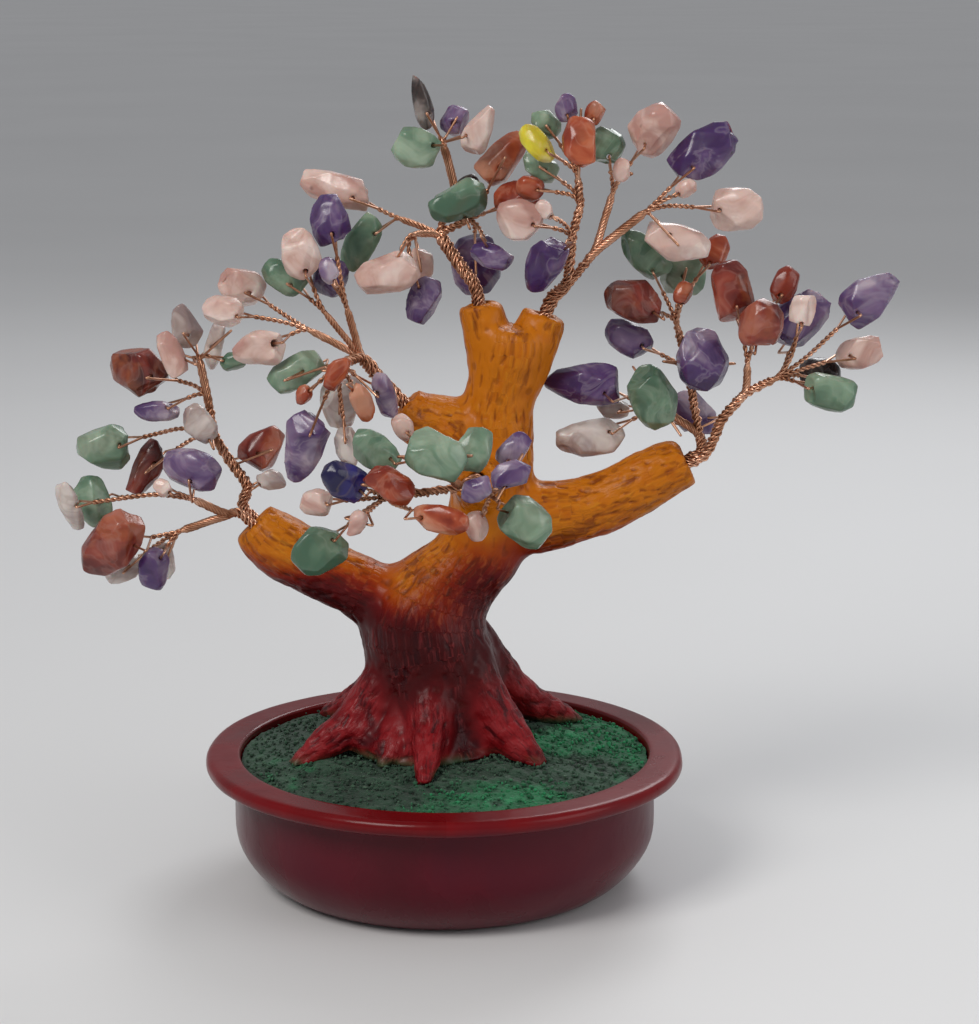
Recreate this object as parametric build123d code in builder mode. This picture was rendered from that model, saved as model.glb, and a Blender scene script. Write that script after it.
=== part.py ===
from build123d import *
from dataclasses import dataclass
import os

import numpy as np

# Driving sizes, in millimetres. X runs to the right, Y away from the viewer, Z up from the table.
reach = 100.0  # from the pot's axis out to the farthest stones
fork_height = 100.0  # from the table up to the trunk's upper fork
trunk_radius = 14.5
stone_size = 11.0  # a middling chip, across
wire_radius = 0.28  # one copper wire

# Where the front view was seen from, which the tables of places refer to
eye_across = 10.3
eye_distance = 587.0
eye_height = 210.7

# Pot
pot_radius = 55.0
pot_height = 30.5
rim_width = 8.0
lip_thickness = 3.6
lip_round = 1.6
mouth_round = 0.8
neck_round = 2.6
body_radius = 48.6
foot_radius = 37.0
foot_round = 16.0
pot_wall = 3.6
pot_floor = 4.0
floor_round = 12.0

# Moss, ground and the trunk's seat in them
moss_below_rim = 1.8
moss_edge = 1.5
moss_crown = 4.0
fit_gap = 0.3
seat_gap = 0.1
spigot_radius = 11.0
spigot_length = 16.0
overrun = 5.0

# Wires, joints and stones
bundle_packing = 1.1
bundle_sides = 8
eye_sides = 6
knot_share = 0.9  # of a twig's radius, by which a fork's wound knot stands out of its wires
ball_share = 1.08  # of a stem's radius, in the ball at its bending point
neck_proud = 1.0  # a bending point's height over its cut end
straight_out = 3.5
swing_gap = 0.3
bore_depth = 9.0
mouth_spacing = 5.4  # between two wires that share a limb's end
twist_gap = 2.2  # from a twist's end to its stone
eye_gap = 0.5
drill_gap = 0.22
stone_gap = 0.45
branch_gap = 1.3
twig_bend = 12.0  # the longest straight start of a twig
shortest_bend = 2.0

# How the chips are shaped, as shares of their own sizes
ring_level_shares = (-0.93, -0.52, 0.04, 0.56, 0.94)
ring_corners = (4, 6, 7, 6, 4)
fullness = 3.2
corner_shares = (0.8, 1.0)
flatness_shares = (0.62, 0.84)
thinnest_share = 0.32  # of a middling chip
drill_share = 0.56
splay_share = 0.7
bend_share = 0.45
largest_tilt = 22.0

# Trunk and limbs: across and up as the front view shows them, back, and radius, as shares of
# reach, fork_height, reach and trunk_radius
trunk_shares = (
    (-0.02, 0.0, 0.27, 1.18),
    (-0.02, 0.0, 0.43, 1.07),
    (-0.03, 0.0, 0.52, 1.02),
    (-0.04, 0.0, 0.61, 1.02),
    (0.014, 0.0, 0.70, 0.74),
    (0.092, 0.0, 0.79, 0.67),
    (0.107, 0.0, 0.90, 0.64),
    (0.115, 0.0, 1.0, 0.61),
    (0.125, 0.0, 1.10, 0.55),
    (0.15, 0.0, 1.21, 0.60),
    (0.153, 0.0, 1.285, 0.50),
)
limb_shares = {
    "left_limb": (
        (-0.06, 0.0, 0.62, 0.75),
        (-0.195, 0.0, 0.685, 0.50),
        (-0.305, 0.0, 0.744, 0.50),
        (-0.385, 0.0, 0.793, 0.48),
        (-0.43, 0.0, 0.836, 0.36),
    ),
    "right_limb": (
        (0.09, 0.0, 0.82, 0.62),
        (0.215, 0.0, 0.85, 0.58),
        (0.323, 0.0, 0.868, 0.50),
        (0.43, 0.0, 0.916, 0.465),
        (0.55, 0.0, 0.975, 0.38),
    ),
    "side_stump": (
        (0.08, 0.0, 1.0, 0.60),
        (0.0, 0.0, 1.055, 0.50),
        (-0.05, 0.0, 1.07, 0.44),
        (-0.088, 0.0, 1.108, 0.33),
    ),
    "front_stump": (
        (0.09, 0.0, 0.92, 0.50),
        (0.08, -0.12, 0.925, 0.42),
        (0.075, -0.20, 0.93, 0.34),
    ),
    "left_top": (
        (0.12, 0.0, 1.14, 0.42),
        (0.10, 0.0, 1.25, 0.39),
        (0.08, 0.0, 1.335, 0.33),
    ),
    "right_top": (
        (0.16, 0.0, 1.14, 0.42),
        (0.195, 0.0, 1.23, 0.40),
        (0.227, 0.0, 1.31, 0.33),
    ),
}

# Roots: where each tip lies on the moss, as shares of the pot's mouth, and its thickness, as a
# share of the trunk's radius
root_tip_shares = (
    (-0.73, -0.28, 0.36),
    (-0.30, -0.42, 0.26),
    (-0.09, -0.64, 0.30),
    (0.47, -0.36, 0.40),
    (0.68, 0.49, 0.34),
    (0.12, 0.70, 0.32),
    (-0.63, 0.62, 0.34),
)
root_path_shares = (
    (0.06, 1.08, 0.85),
    (0.29, 0.67, 1.12),
    (0.55, 0.27, 0.97),
    (0.82, 0.09, 0.66),
    (1.0, -0.01, 0.34),
)

# Branches: the limb each one leaves, the side of that limb's end, then its forks and its stones.
# A fork has the fork before it, or None for the limb, and its place. A stone has its fork, its
# kind, its place, its length and width as shares of stone_size, its lean clockwise from upright
# in degrees, and how much its far end tapers. Places are shares, as for the limbs.
branch_shares = {
    "left_low": (
        "left_limb",
        -1,
        (
            (None, -0.49, -0.05, 0.852),
            (0, -0.57, -0.08, 0.89),
            (0, -0.60, -0.06, 0.815),
        ),
        (
            (1, "amethyst", -0.58, -0.06, 0.945, 1.3, 1.0, -75, 0.2),
            (1, "aventurine", -0.795, -0.03, 0.88, 1.2, 0.85, -25, 0.1),
            (1, "white_quartz", -0.845, -0.10, 0.875, 1.3, 0.55, -12, 0.2),
            (1, "rose_quartz", -0.636, -0.13, 0.915, 0.45, 0.42, -60, 0.1),
            (2, "red_jasper", -0.755, -0.12, 0.79, 1.65, 1.25, -140, 0.3),
            (2, "white_quartz", -0.73, -0.03, 0.725, 0.85, 0.6, -115, 0.2),
            (2, "amethyst", -0.67, -0.12, 0.73, 0.95, 0.72, 185, 0.2),
            (2, "white_quartz", -0.635, -0.03, 0.745, 0.9, 0.42, 175, 0.2),
        ),
    ),
    "left_high": (
        "left_limb",
        1,
        (
            (None, -0.44, 0.04, 0.92),
            (0, -0.475, 0.05, 0.965),
            (1, -0.515, 0.06, 1.03),
            (2, -0.53, 0.06, 1.125),
            (3, -0.546, 0.07, 1.21),
        ),
        (
            (1, "red_jasper", -0.425, 0.09, 0.995, 1.1, 1.0, 40, 0.2),
            (0, "white_quartz", -0.395, 0.0, 0.925, 0.7, 0.5, 100, 0.2),
            (2, "white_quartz", -0.56, -0.01, 1.04, 0.9, 0.7, -30, 0.1),
            (2, "red_jasper", -0.68, 0.09, 0.965, 1.3, 0.75, -155, 0.1),
            (2, "aventurine", -0.755, 0.05, 1.0, 1.2, 1.1, -90, 0.2),
            (3, "amethyst", -0.64, 0.035, 1.095, 1.0, 0.5, -92, 0.1),
            (3, "red_jasper", -0.68, 0.09, 1.18, 1.3, 1.15, -60, 0.2),
            (4, "white_quartz", -0.578, 0.09, 1.28, 1.0, 0.9, -10, 0.6),
            (4, "rose_quartz", -0.60, 0.02, 1.22, 1.1, 0.6, -25, 0.2),
            (4, "white_quartz", -0.515, 0.11, 1.245, 1.2, 0.45, 15, 0.3),
            (4, "aventurine", -0.47, 0.05, 1.205, 0.55, 0.5, 80, 0.1),
        ),
    ),
    "mid_left": (
        "side_stump",
        0,
        (
            (None, -0.185, -0.05, 1.215),
            (0, -0.30, -0.06, 1.275),
            (0, -0.265, -0.08, 1.315),
            (0, -0.215, -0.08, 1.325),
            (0, -0.225, -0.14, 1.20),
        ),
        (
            (1, "rose_quartz", -0.44, -0.03, 1.375, 1.0, 0.9, -60, 0.1),
            (1, "rose_quartz", -0.485, -0.10, 1.315, 0.85, 0.8, -80, 0.1),
            (1, "rose_quartz", -0.42, -0.10, 1.27, 1.2, 0.9, -100, 0.2),
            (2, "aventurine", -0.36, -0.04, 1.39, 1.0, 0.7, -55, 0.1),
            (2, "rose_quartz", -0.31, -0.10, 1.45, 1.1, 0.9, -20, 0.1),
            (3, "amethyst", -0.252, -0.15, 1.41, 0.6, 0.5, -20, 0.2),
            (3, "amethyst", -0.205, -0.03, 1.42, 0.8, 0.8, 15, 0.1),
            (3, "amethyst", -0.255, -0.06, 1.515, 1.1, 1.05, -5, 0.3),
            (4, "aventurine", -0.33, -0.09, 1.18, 1.2, 0.75, -120, 0.1),
            (4, "carnelian", -0.225, -0.21, 1.17, 0.8, 0.55, -150, 0.1),
            (4, "white_quartz", -0.235, -0.11, 1.10, 1.2, 1.1, 180, 0.2),
            (4, "amethyst", -0.14, -0.14, 1.115, 1.2, 0.6, 165, 0.3),
            (4, "amethyst", -0.305, -0.16, 1.025, 1.7, 1.15, -165, 0.4),
            (4, "white_quartz", -0.22, -0.15, 1.01, 0.9, 0.6, 178, 0.2),
            (4, "carnelian", -0.315, -0.20, 1.115, 0.45, 0.4, -140, 0.1),
            (4, "carnelian", -0.175, -0.22, 1.12, 0.9, 0.5, 165, 0.2),
        ),
    ),
    "top_left": (
        "left_top",
        0,
        (
            (None, 0.03, 0.03, 1.43),
            (0, -0.01, 0.05, 1.49),
            (1, -0.10, 0.06, 1.525),
            (1, -0.065, 0.03, 1.49),
            (1, 0.028, 0.07, 1.59),
            (4, 0.0, 0.07, 1.69),
            (1, 0.055, 0.04, 1.52),
        ),
        (
            (2, "rose_quartz", -0.235, 0.08, 1.585, 1.6, 0.85, -72, 0.2),
            (2, "aventurine", -0.175, 0.04, 1.495, 1.3, 0.8, -150, 0.2),
            (3, "rose_quartz", -0.11, 0.0, 1.425, 1.3, 0.9, -110, 0.1),
            (3, "rose_quartz", -0.04, 0.07, 1.425, 1.1, 0.55, 180, 0.2),
            (3, "amethyst", -0.06, -0.01, 1.36, 1.0, 0.8, -160, 0.1),
            (5, "clear_quartz", -0.042, 0.08, 1.778, 1.25, 0.6, -14, 0.65),
            (5, "aventurine", -0.06, 0.03, 1.68, 1.05, 0.95, -70, 0.1),
            (5, "amethyst", 0.024, 0.11, 1.735, 0.65, 0.65, 30, 0.1),
            (5, "rose_quartz", 0.078, 0.05, 1.715, 1.2, 0.65, 25, 0.2),
            (4, "clear_quartz", 0.06, 0.12, 1.603, 0.5, 0.4, 60, 0.1),
            (6, "aventurine", 0.045, -0.01, 1.55, 1.3, 0.9, 75, 0.1),
            (6, "amethyst", 0.085, 0.01, 1.495, 1.0, 0.6, 105, 0.1),
            (6, "amethyst", 0.065, 0.11, 1.42, 1.3, 1.2, 175, 0.2),
            (6, "carnelian", 0.125, 0.10, 1.64, 1.3, 1.0, 45, 0.5),
            (6, "carnelian", 0.15, 0.05, 1.575, 0.95, 0.9, 75, 0.1),
        ),
    ),
    "top_right": (
        "right_top",
        0,
        (
            (None, 0.277, -0.03, 1.376),
            (0, 0.285, -0.05, 1.48),
            (1, 0.305, -0.05, 1.554),
            (2, 0.297, -0.05, 1.62),
            (0, 0.337, -0.03, 1.45),
            (4, 0.375, -0.02, 1.58),
            (4, 0.45, -0.05, 1.54),
        ),
        (
            (1, "rose_quartz", 0.172, -0.07, 1.514, 1.0, 0.95, -75, 0.1),
            (1, "amethyst", 0.218, -0.10, 1.44, 1.4, 1.1, -160, 0.5),
            (2, "carnelian", 0.20, -0.03, 1.60, 0.6, 0.55, -55, 0.1),
            (1, "rose_quartz", 0.225, -0.14, 1.54, 0.5, 0.45, -40, 0.1),
            (3, "citrine", 0.212, -0.06, 1.685, 0.95, 0.55, -45, 0.1),
            (3, "aventurine", 0.24, -0.01, 1.735, 0.7, 0.6, -35, 0.1),
            (3, "carnelian", 0.293, -0.10, 1.685, 1.1, 0.85, -10, 0.1),
            (3, "carnelian", 0.325, -0.04, 1.75, 0.5, 0.45, 15, 0.1),
            (2, "aventurine", 0.212, 0.0, 1.63, 0.8, 0.6, -60, 0.1),
            (3, "amethyst", 0.27, -0.04, 1.755, 0.6, 0.5, -10, 0.1),
            (5, "aventurine", 0.366, -0.01, 1.69, 0.9, 0.8, -5, 0.1),
            (5, "rose_quartz", 0.395, -0.09, 1.63, 0.5, 0.42, 15, 0.1),
            (5, "rose_quartz", 0.462, -0.04, 1.718, 1.2, 1.1, 35, 0.2),
            (6, "amethyst", 0.578, -0.05, 1.663, 1.6, 1.2, 55, 0.3),
            (6, "rose_quartz", 0.54, -0.12, 1.60, 0.5, 0.4, 60, 0.1),
            (6, "rose_quartz", 0.525, -0.04, 1.515, 1.4, 0.9, 105, 0.1),
            (6, "rose_quartz", 0.64, -0.06, 1.54, 1.2, 1.1, 85, 0.2),
        ),
    ),
    "right_inner": (
        "right_limb",
        1,
        (
            (None, 0.575, 0.06, 1.04),
            (0, 0.50, 0.07, 1.09),
            (0, 0.55, 0.08, 1.17),
            (2, 0.52, 0.07, 1.29),
        ),
        (
            (1, "amethyst", 0.31, 0.03, 1.155, 1.7, 1.2, -88, 0.5),
            (1, "white_quartz", 0.38, 0.10, 1.085, 0.8, 0.45, -90, 0.1),
            (1, "white_quartz", 0.336, 0.05, 1.035, 1.5, 0.9, -95, 0.1),
            (1, "aventurine", 0.46, 0.01, 1.15, 1.4, 1.15, -30, 0.2),
            (0, "amethyst", 0.56, 0.13, 1.083, 1.15, 0.9, -40, 0.1),
            (2, "amethyst", 0.545, 0.0, 1.265, 1.35, 1.15, -5, 0.1),
            (2, "amethyst", 0.418, 0.07, 1.24, 1.1, 0.8, -65, 0.2),
            (3, "aventurine", 0.453, 0.07, 1.44, 1.3, 0.85, -50, 0.2),
            (3, "aventurine", 0.53, 0.12, 1.415, 1.25, 1.15, 5, 0.1),
            (3, "carnelian", 0.598, 0.05, 1.45, 0.85, 0.6, 30, 0.1),
            (3, "red_jasper", 0.42, 0.01, 1.345, 1.3, 1.2, -80, 0.5),
            (3, "carnelian", 0.535, 0.01, 1.352, 0.5, 0.45, 20, 0.1),
        ),
    ),
    "right_outer": (
        "right_limb",
        -1,
        (
            (None, 0.625, -0.05, 1.075),
            (0, 0.68, -0.06, 1.135),
            (1, 0.68, -0.07, 1.20),
            (1, 0.745, -0.08, 1.165),
        ),
        (
            (2, "red_jasper", 0.638, -0.05, 1.35, 1.3, 1.1, -12, 0.2),
            (2, "red_jasper", 0.704, -0.12, 1.30, 1.1, 1.0, 8, 0.1),
            (2, "carnelian", 0.76, -0.04, 1.37, 0.8, 0.6, 30, 0.1),
            (3, "rose_quartz", 0.776, -0.13, 1.32, 0.8, 0.65, 10, 0.1),
            (3, "amethyst", 0.818, -0.05, 1.264, 1.5, 1.2, 45, 0.2),
            (3, "amethyst", 0.945, -0.08, 1.33, 1.4, 1.3, 48, 0.6),
            (3, "rose_quartz", 0.922, -0.06, 1.236, 1.1, 0.8, 70, 0.1),
            (3, "aventurine", 0.866, -0.12, 1.145, 1.1, 0.9, 100, 0.1),
            (3, "clear_quartz", 0.845, -0.03, 1.185, 0.85, 0.8, 85, 0.1),
        ),
    ),
    "front": (
        "front_stump",
        0,
        (
            (None, 0.04, -0.28, 0.915),
            (0, -0.12, -0.37, 0.895),
            (0, 0.10, -0.36, 0.90),
            (0, 0.0, -0.35, 0.95),
        ),
        (
            (3, "aventurine", -0.152, -0.41, 1.00, 1.1, 0.8, -55, 0.1),
            (3, "rose_quartz", -0.09, -0.34, 1.056, 0.55, 0.45, -30, 0.1),
            (3, "aventurine", -0.019, -0.50, 0.976, 1.3, 1.0, -60, 0.1),
            (3, "aventurine", 0.058, -0.42, 1.005, 1.0, 0.9, 30, 0.1),
            (2, "amethyst", 0.16, -0.38, 1.00, 0.8, 0.65, 40, 0.1),
            (2, "amethyst", 0.067, -0.53, 0.917, 0.7, 0.55, 60, 0.1),
            (2, "amethyst", 0.14, -0.47, 0.935, 0.9, 0.65, 75, 0.1),
            (2, "aventurine", 0.16, -0.45, 0.832, 1.1, 1.05, 130, 0.1),
            (2, "rose_quartz", 0.07, -0.45, 0.835, 0.6, 0.5, 170, 0.1),
            (1, "carnelian", -0.105, -0.50, 0.925, 1.1, 0.75, -60, 0.1),
            (1, "carnelian", -0.019, -0.52, 0.85, 1.2, 0.65, 95, 0.1),
            (1, "lapis", -0.225, -0.45, 0.932, 0.95, 0.85, -50, 0.2),
            (1, "rose_quartz", -0.29, -0.40, 0.876, 0.7, 0.6, -85, 0.1),
            (1, "rose_quartz", -0.20, -0.48, 0.83, 0.6, 0.45, -150, 0.1),
            (1, "aventurine", -0.285, -0.42, 0.778, 1.1, 1.05, -130, 0.1),
        ),
    ),
}


@dataclass
class Stone:
    """One chip: its corners about its middle, and the twig and wire eye that carry it."""

    kind: str
    branch: str
    fork: np.ndarray
    heading: np.ndarray
    half_sizes: np.ndarray
    turn: np.ndarray
    corners: np.ndarray
    middle: np.ndarray

    def route(self):
        """The twig's fork, bend and twist end, the eye's two corners and the drilled hole."""
        straight = self.middle - self.fork
        free = np.linalg.norm(straight) - self.half_sizes.max() - twist_gap
        bend = self.fork
        if free > shortest_bend:
            start = unit(unit(straight) + splay_share * self.heading)
            bend = self.fork + start * min(bend_share * free, twig_bend)
        way = unit(self.middle - bend)
        rise = self.corners @ way
        low = -rise.min() + twist_gap
        side = np.array((0.0, 1.0, 0.0)) if abs(way[1]) < 0.8 else np.array((1.0, 0.0, 0.0))
        side = unit(side - way * (side @ way))
        slope = ((abs(self.corners @ side) + wire_radius + eye_gap) / (rise + low)).max()
        depth = drill_share / np.linalg.norm((self.turn.T @ way) / self.half_sizes)
        hole = self.middle - way * depth
        half_eye = side * slope * (low - depth)
        return bend, self.middle - way * low, hole - half_eye, hole + half_eye, hole


def unit(vector):
    """The same direction with a length of one."""
    return vector / np.linalg.norm(vector)


def placed(across, back, up):
    """The place of a point that the front view shows at across and up, and that lies back."""
    eye = np.array((eye_across, -eye_distance, eye_height))
    shown = np.array((across * reach, 0, up * fork_height))
    return eye + (shown - eye) * (1 + back * reach / eye_distance)


def bundle_radius(stones):
    """The radius of the wires that feed so many stones, two wires for each."""
    return wire_radius * bundle_packing * (2 * stones) ** 0.5


def knot_radius(stones):
    """The radius of the wound knot where so many stones' wires part."""
    return bundle_radius(stones) + knot_share * bundle_radius(1)


def chip(length, width, taper, lean, seed):
    """Half sizes, turn and corners of a tumbled chip about its middle."""
    draw = np.random.default_rng(seed)
    depth = width * draw.uniform(*flatness_shares)
    depth = max(depth, min(width, thinnest_share * stone_size))
    half_sizes = np.array((width, depth, length)) / 2
    corners = []
    for level, count in zip(ring_level_shares, ring_corners):
        ring = (1 - abs(level) ** fullness) ** (1 / fullness) * (1 - taper * (level + 1) / 2)
        for angle in 2 * np.pi * (np.arange(count) + draw.uniform(-0.2, 0.2, count)) / count:
            side, front = np.cos(angle), np.sin(angle)
            out = (abs(side) ** fullness + abs(front) ** fullness) ** (-1 / fullness)
            out *= ring * draw.uniform(*corner_shares)
            corners.append(half_sizes * (out * side, out * front, level))
    tilt = np.radians(draw.uniform(-largest_tilt, largest_tilt))
    lean = np.radians(lean)
    about_x = ((1, 0, 0), (0, np.cos(tilt), -np.sin(tilt)), (0, np.sin(tilt), np.cos(tilt)))
    about_y = ((np.cos(lean), 0, np.sin(lean)), (0, 1, 0), (-np.sin(lean), 0, np.cos(lean)))
    turn = np.array(about_y) @ np.array(about_x)
    return half_sizes, turn, np.array(corners) @ turn.T


def distance(one, other):
    """The gap between two convex bodies, each given as points and a radius, and its way."""
    apart = one[0].mean(axis=0) - other[0].mean(axis=0)
    for _ in range(90):
        far = one[0][(one[0] @ apart).argmin()] - other[0][(other[0] @ apart).argmax()]
        step = apart - far
        if apart @ step < 1e-4 + 0.01 * np.linalg.norm(apart):
            break
        apart = apart - step * min(max(apart @ step / (step @ step), 0), 1)
    length = np.linalg.norm(apart)
    return length - one[1] - other[1], apart / max(length, 1e-9)


def spread_apart(stones, fixed):
    """Moves stones that lie too close to others, to twigs or to the wood, a little at a time."""
    for _ in range(60):
        bodies, lines = [], []
        for owner, stone in enumerate(stones):
            bend, twist, eye_left, eye_right, _ = stone.route()
            hull = np.vstack((stone.corners + stone.middle, eye_left, eye_right))
            bodies.append((hull, wire_radius))
            lines += [
                (owner, (np.array((stone.fork, bend)), bundle_radius(1))),
                (owner, (np.array((bend, twist)), bundle_radius(1))),
                (owner, (np.array((twist,)), knot_radius(1))),
                (owner, (np.array((twist, eye_left, eye_right)), wire_radius)),
            ]
        lines += [(None, body) for body in fixed]
        spans = [np.ptp(body[0], axis=0).max() for body in bodies]
        moved = 0
        for first, stone in enumerate(stones):
            for second in range(first + 1, len(stones)):
                other = stones[second]
                wanted = stone_gap if stone.branch == other.branch else branch_gap
                if np.linalg.norm(stone.middle - other.middle) > spans[first] + spans[second] + wanted:
                    continue
                gap, way = distance(bodies[first], bodies[second])
                if gap < wanted:
                    way = way if gap > -wire_radius else unit(stone.middle - other.middle)
                    push = way * max(wanted - gap, wanted) / 2
                    stone.middle, other.middle = stone.middle + push, other.middle - push
                    moved += 1
            for owner, line in lines:
                if owner == first:
                    continue
                near = line[0].mean(axis=0) - stone.middle
                if np.linalg.norm(near) > spans[first] + np.ptp(line[0], axis=0).max() + line[1]:
                    continue
                gap, way = distance(bodies[first], line)
                if gap < stone_gap:
                    way = way if gap > -line[1] - wire_radius else unit(-near)
                    stone.middle = stone.middle + way * max(stone_gap - gap, stone_gap)
                    moved += 1
        if not moved:
            break


def stations(shares):
    """Centres and radii of a limb's sections."""
    return [(placed(across, back, up), radius * trunk_radius) for across, back, up, radius in shares]


def limb(sections):
    """Lofts round sections, each square to the line through its neighbours."""
    centres = [centre for centre, _ in sections]
    outlines = []
    for place, (centre, radius) in enumerate(sections):
        way = centres[min(place + 1, len(centres) - 1)] - centres[max(place - 1, 0)]
        with BuildSketch(Plane(origin=tuple(centre), z_dir=tuple(way))) as outline:
            Circle(radius)
        outlines.append(outline.sketch)
    loft(outlines)


def rod(start, end, radius, mode=Mode.ADD):
    """A round rod from start to end."""
    length = float(np.linalg.norm(end - start))
    with Locations(Plane(origin=tuple(start), z_dir=tuple(end - start))):
        Cylinder(radius, length, align=(Align.CENTER, Align.CENTER, Align.MIN), mode=mode)


def knot(centre, radius):
    """A wound knot where wires part, as a solid of twenty flat faces."""
    golden = (1 + 5**0.5) / 2
    corners = []
    for one, other in ((1, golden), (1, -golden), (-1, golden), (-1, -golden)):
        corners += [(0, one, other), (one, other, 0), (other, 0, one)]
    ConvexPolyhedron([tuple(centre + unit(np.array(corner)) * radius) for corner in corners])


def bundle(start, end, radius):
    """A straight run of twisted wires, with flat sides."""
    with BuildSketch(Plane(origin=tuple(start), z_dir=tuple(end - start))) as section:
        RegularPolygon(radius, bundle_sides)
    extrude(section.sketch, amount=float(np.linalg.norm(end - start)))


# Heights that follow from the pot
mouth_radius = pot_radius - rim_width
moss_base = pot_height - moss_below_rim - moss_edge
moss_top = moss_base + moss_edge + moss_crown
cavity_radius = body_radius - pot_wall
moss_radius = mouth_radius - fit_gap
dome_radius = (moss_radius**2 + moss_crown**2) / (2 * moss_crown)
socket_floor = moss_top - spigot_length
foot_rise = (foot_round**2 - (foot_radius - body_radius + foot_round) ** 2) ** 0.5

with BuildPart() as pot:
    with BuildSketch(Plane.XZ) as pot_section:
        with BuildLine():
            foot = Line((0, 0), (foot_radius, 0))
            belly = RadiusArc(foot @ 1, (body_radius, foot_rise), -foot_round)
            wall = Polyline(
                belly @ 1,
                (body_radius, pot_height - lip_thickness),
                (pot_radius, pot_height - lip_thickness),
                (pot_radius, pot_height),
                (mouth_radius, pot_height),
                (mouth_radius, moss_base),
                (cavity_radius, moss_base),
                (cavity_radius, pot_floor + floor_round),
            )
            bowl = RadiusArc(wall @ 1, (cavity_radius - floor_round, pot_floor), floor_round)
            Polyline(bowl @ 1, (0, pot_floor), (0, 0))
        make_face()
        corners = pot_section.vertices()
        fillet(corners.group_by(Axis.X)[-1], lip_round)
        neck = Vector(body_radius, pot_height - lip_thickness)
        fillet(pot_section.vertices().sort_by_distance(neck)[0], neck_round)
        fillet(pot_section.vertices().sort_by_distance(Vector(mouth_radius, pot_height))[0], mouth_round)
    revolve(axis=Axis.Z)
pot.part.label = "pot"

with BuildPart() as ground_fill:
    with BuildSketch(Plane.XY.offset(pot_floor)):
        Circle(cavity_radius - fit_gap)
    extrude(amount=moss_base - pot_floor)
    fillet(ground_fill.edges().group_by(Axis.Z)[0], floor_round)
    with BuildSketch(Plane.XY.offset(moss_base)):
        Circle(spigot_radius + fit_gap)
    extrude(amount=socket_floor - moss_base, mode=Mode.SUBTRACT)
ground_fill.part.label = "ground_fill"


def dome_drop(radius):
    """How far the moss falls from its crown at a radius."""
    return dome_radius - (dome_radius**2 - radius**2) ** 0.5


with BuildPart() as moss:
    with BuildSketch(Plane.XZ):
        with BuildLine():
            crown = RadiusArc((0, moss_top), (moss_radius, moss_top - dome_drop(moss_radius)), dome_radius)
            Polyline(crown @ 1, (moss_radius, moss_base), (0, moss_base), (0, moss_top))
        make_face()
    revolve(axis=Axis.Z)
    with BuildSketch(Plane.XY.offset(moss_base)):
        Circle(spigot_radius + fit_gap)
    extrude(amount=moss_top, mode=Mode.SUBTRACT)
moss.part.label = "moss"

# Limbs, roots and the branches that leave them
limbs = {name: stations(shares) for name, shares in limb_shares.items()}
trunk_stations = stations(trunk_shares)


def root_stations(across, back, thickness):
    """A root's sections, from inside the trunk's foot out to its tip on the moss."""
    foot = trunk_stations[0][0]
    tip = np.array((across, back, 0)) * mouth_radius
    sections = []
    for way, rise, radius in root_path_shares:
        level = moss_top - dome_drop(np.linalg.norm(tip * way)) + rise * trunk_radius * 2
        centre = np.array((foot[0], foot[1], 0)) * (1 - way) + tip * way + (0, 0, level)
        sections.append((centre, radius * thickness * trunk_radius))
    return sections


@dataclass
class Branch:
    """One bending branch: its mouth, the way out of it, its stem's runs and its stones."""

    mouth: np.ndarray
    out: np.ndarray
    runs: list
    stones: list

    @property
    def pivot(self):
        return self.mouth + self.out * neck_proud

    @property
    def stem_radius(self):
        return bundle_radius(len(self.stones))

    @property
    def bore_radius(self):
        return self.stem_radius * ball_share + swing_gap


def make_branch(name, limb_name, side, forks, stones, seed):
    """Works out a branch's stem runs, as start, end and stones fed, and its stones."""
    (before, _), (mouth, _) = limbs[limb_name][-2:]
    out = unit(mouth - before)
    mouth = mouth + np.array((0, side * mouth_spacing / 2, 0))
    places = [placed(*fork[1:]) for fork in forks]
    load = [0] * len(forks)
    for stone in stones:
        fork = stone[0]
        while fork is not None:
            load[fork] += 1
            fork = forks[fork][0]
    pivot = mouth + out * neck_proud
    runs = [(pivot, pivot + out * straight_out, len(stones))]
    headings = []
    for (before, *_), place, fed in zip(forks, places, load):
        start = runs[0][1] if before is None else places[before]
        runs.append((start, place, max(fed, 1)))
        headings.append(unit(place - start))
    made = []
    for number, (fork, kind, across, back, up, length, width, lean, taper) in enumerate(stones):
        sizes = (length * stone_size, width * stone_size)
        shape = chip(*sizes, taper, lean, seed + number)
        made.append(Stone(kind, name, places[fork], headings[fork], *shape, placed(across, back, up)))
    return Branch(mouth, out, runs, made)


branches = {
    name: make_branch(name, *shares, 100 * number)
    for number, (name, shares) in enumerate(branch_shares.items())
}
all_stones = [stone for branch in branches.values() for stone in branch.stones]
wood = [trunk_stations, *limbs.values()]
kept_clear = [
    (np.array((low[0], high[0])), max(low[1], high[1]))
    for sections in wood
    for low, high in zip(sections, sections[1:])
]
for branch in branches.values():
    kept_clear += [(np.array((start, end)), knot_radius(fed)) for start, end, fed in branch.runs]
spread_apart(all_stones, kept_clear)

with BuildPart() as trunk:
    limb(trunk_stations)
    for sections in limbs.values():
        limb(sections)
    for shares in root_tip_shares:
        limb(root_stations(*shares))
    with BuildSketch(Plane.XZ):
        with BuildLine():
            edge = moss_radius + overrun
            top = moss_top + seat_gap
            dome = RadiusArc((0, top), (edge, top - dome_drop(edge)), dome_radius)
            Polyline(dome @ 1, (edge, -overrun), (0, -overrun), (0, top))
        make_face()
    revolve(axis=Axis.Z, mode=Mode.SUBTRACT)
    with BuildSketch(Plane.XY.offset(socket_floor)):
        Circle(spigot_radius)
    extrude(amount=spigot_length + overrun)
    for branch in branches.values():
        bottom = branch.mouth - branch.out * bore_depth
        rod(bottom, branch.pivot + branch.out * overrun, branch.bore_radius, Mode.SUBTRACT)
trunk.part.label = "trunk"

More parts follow.
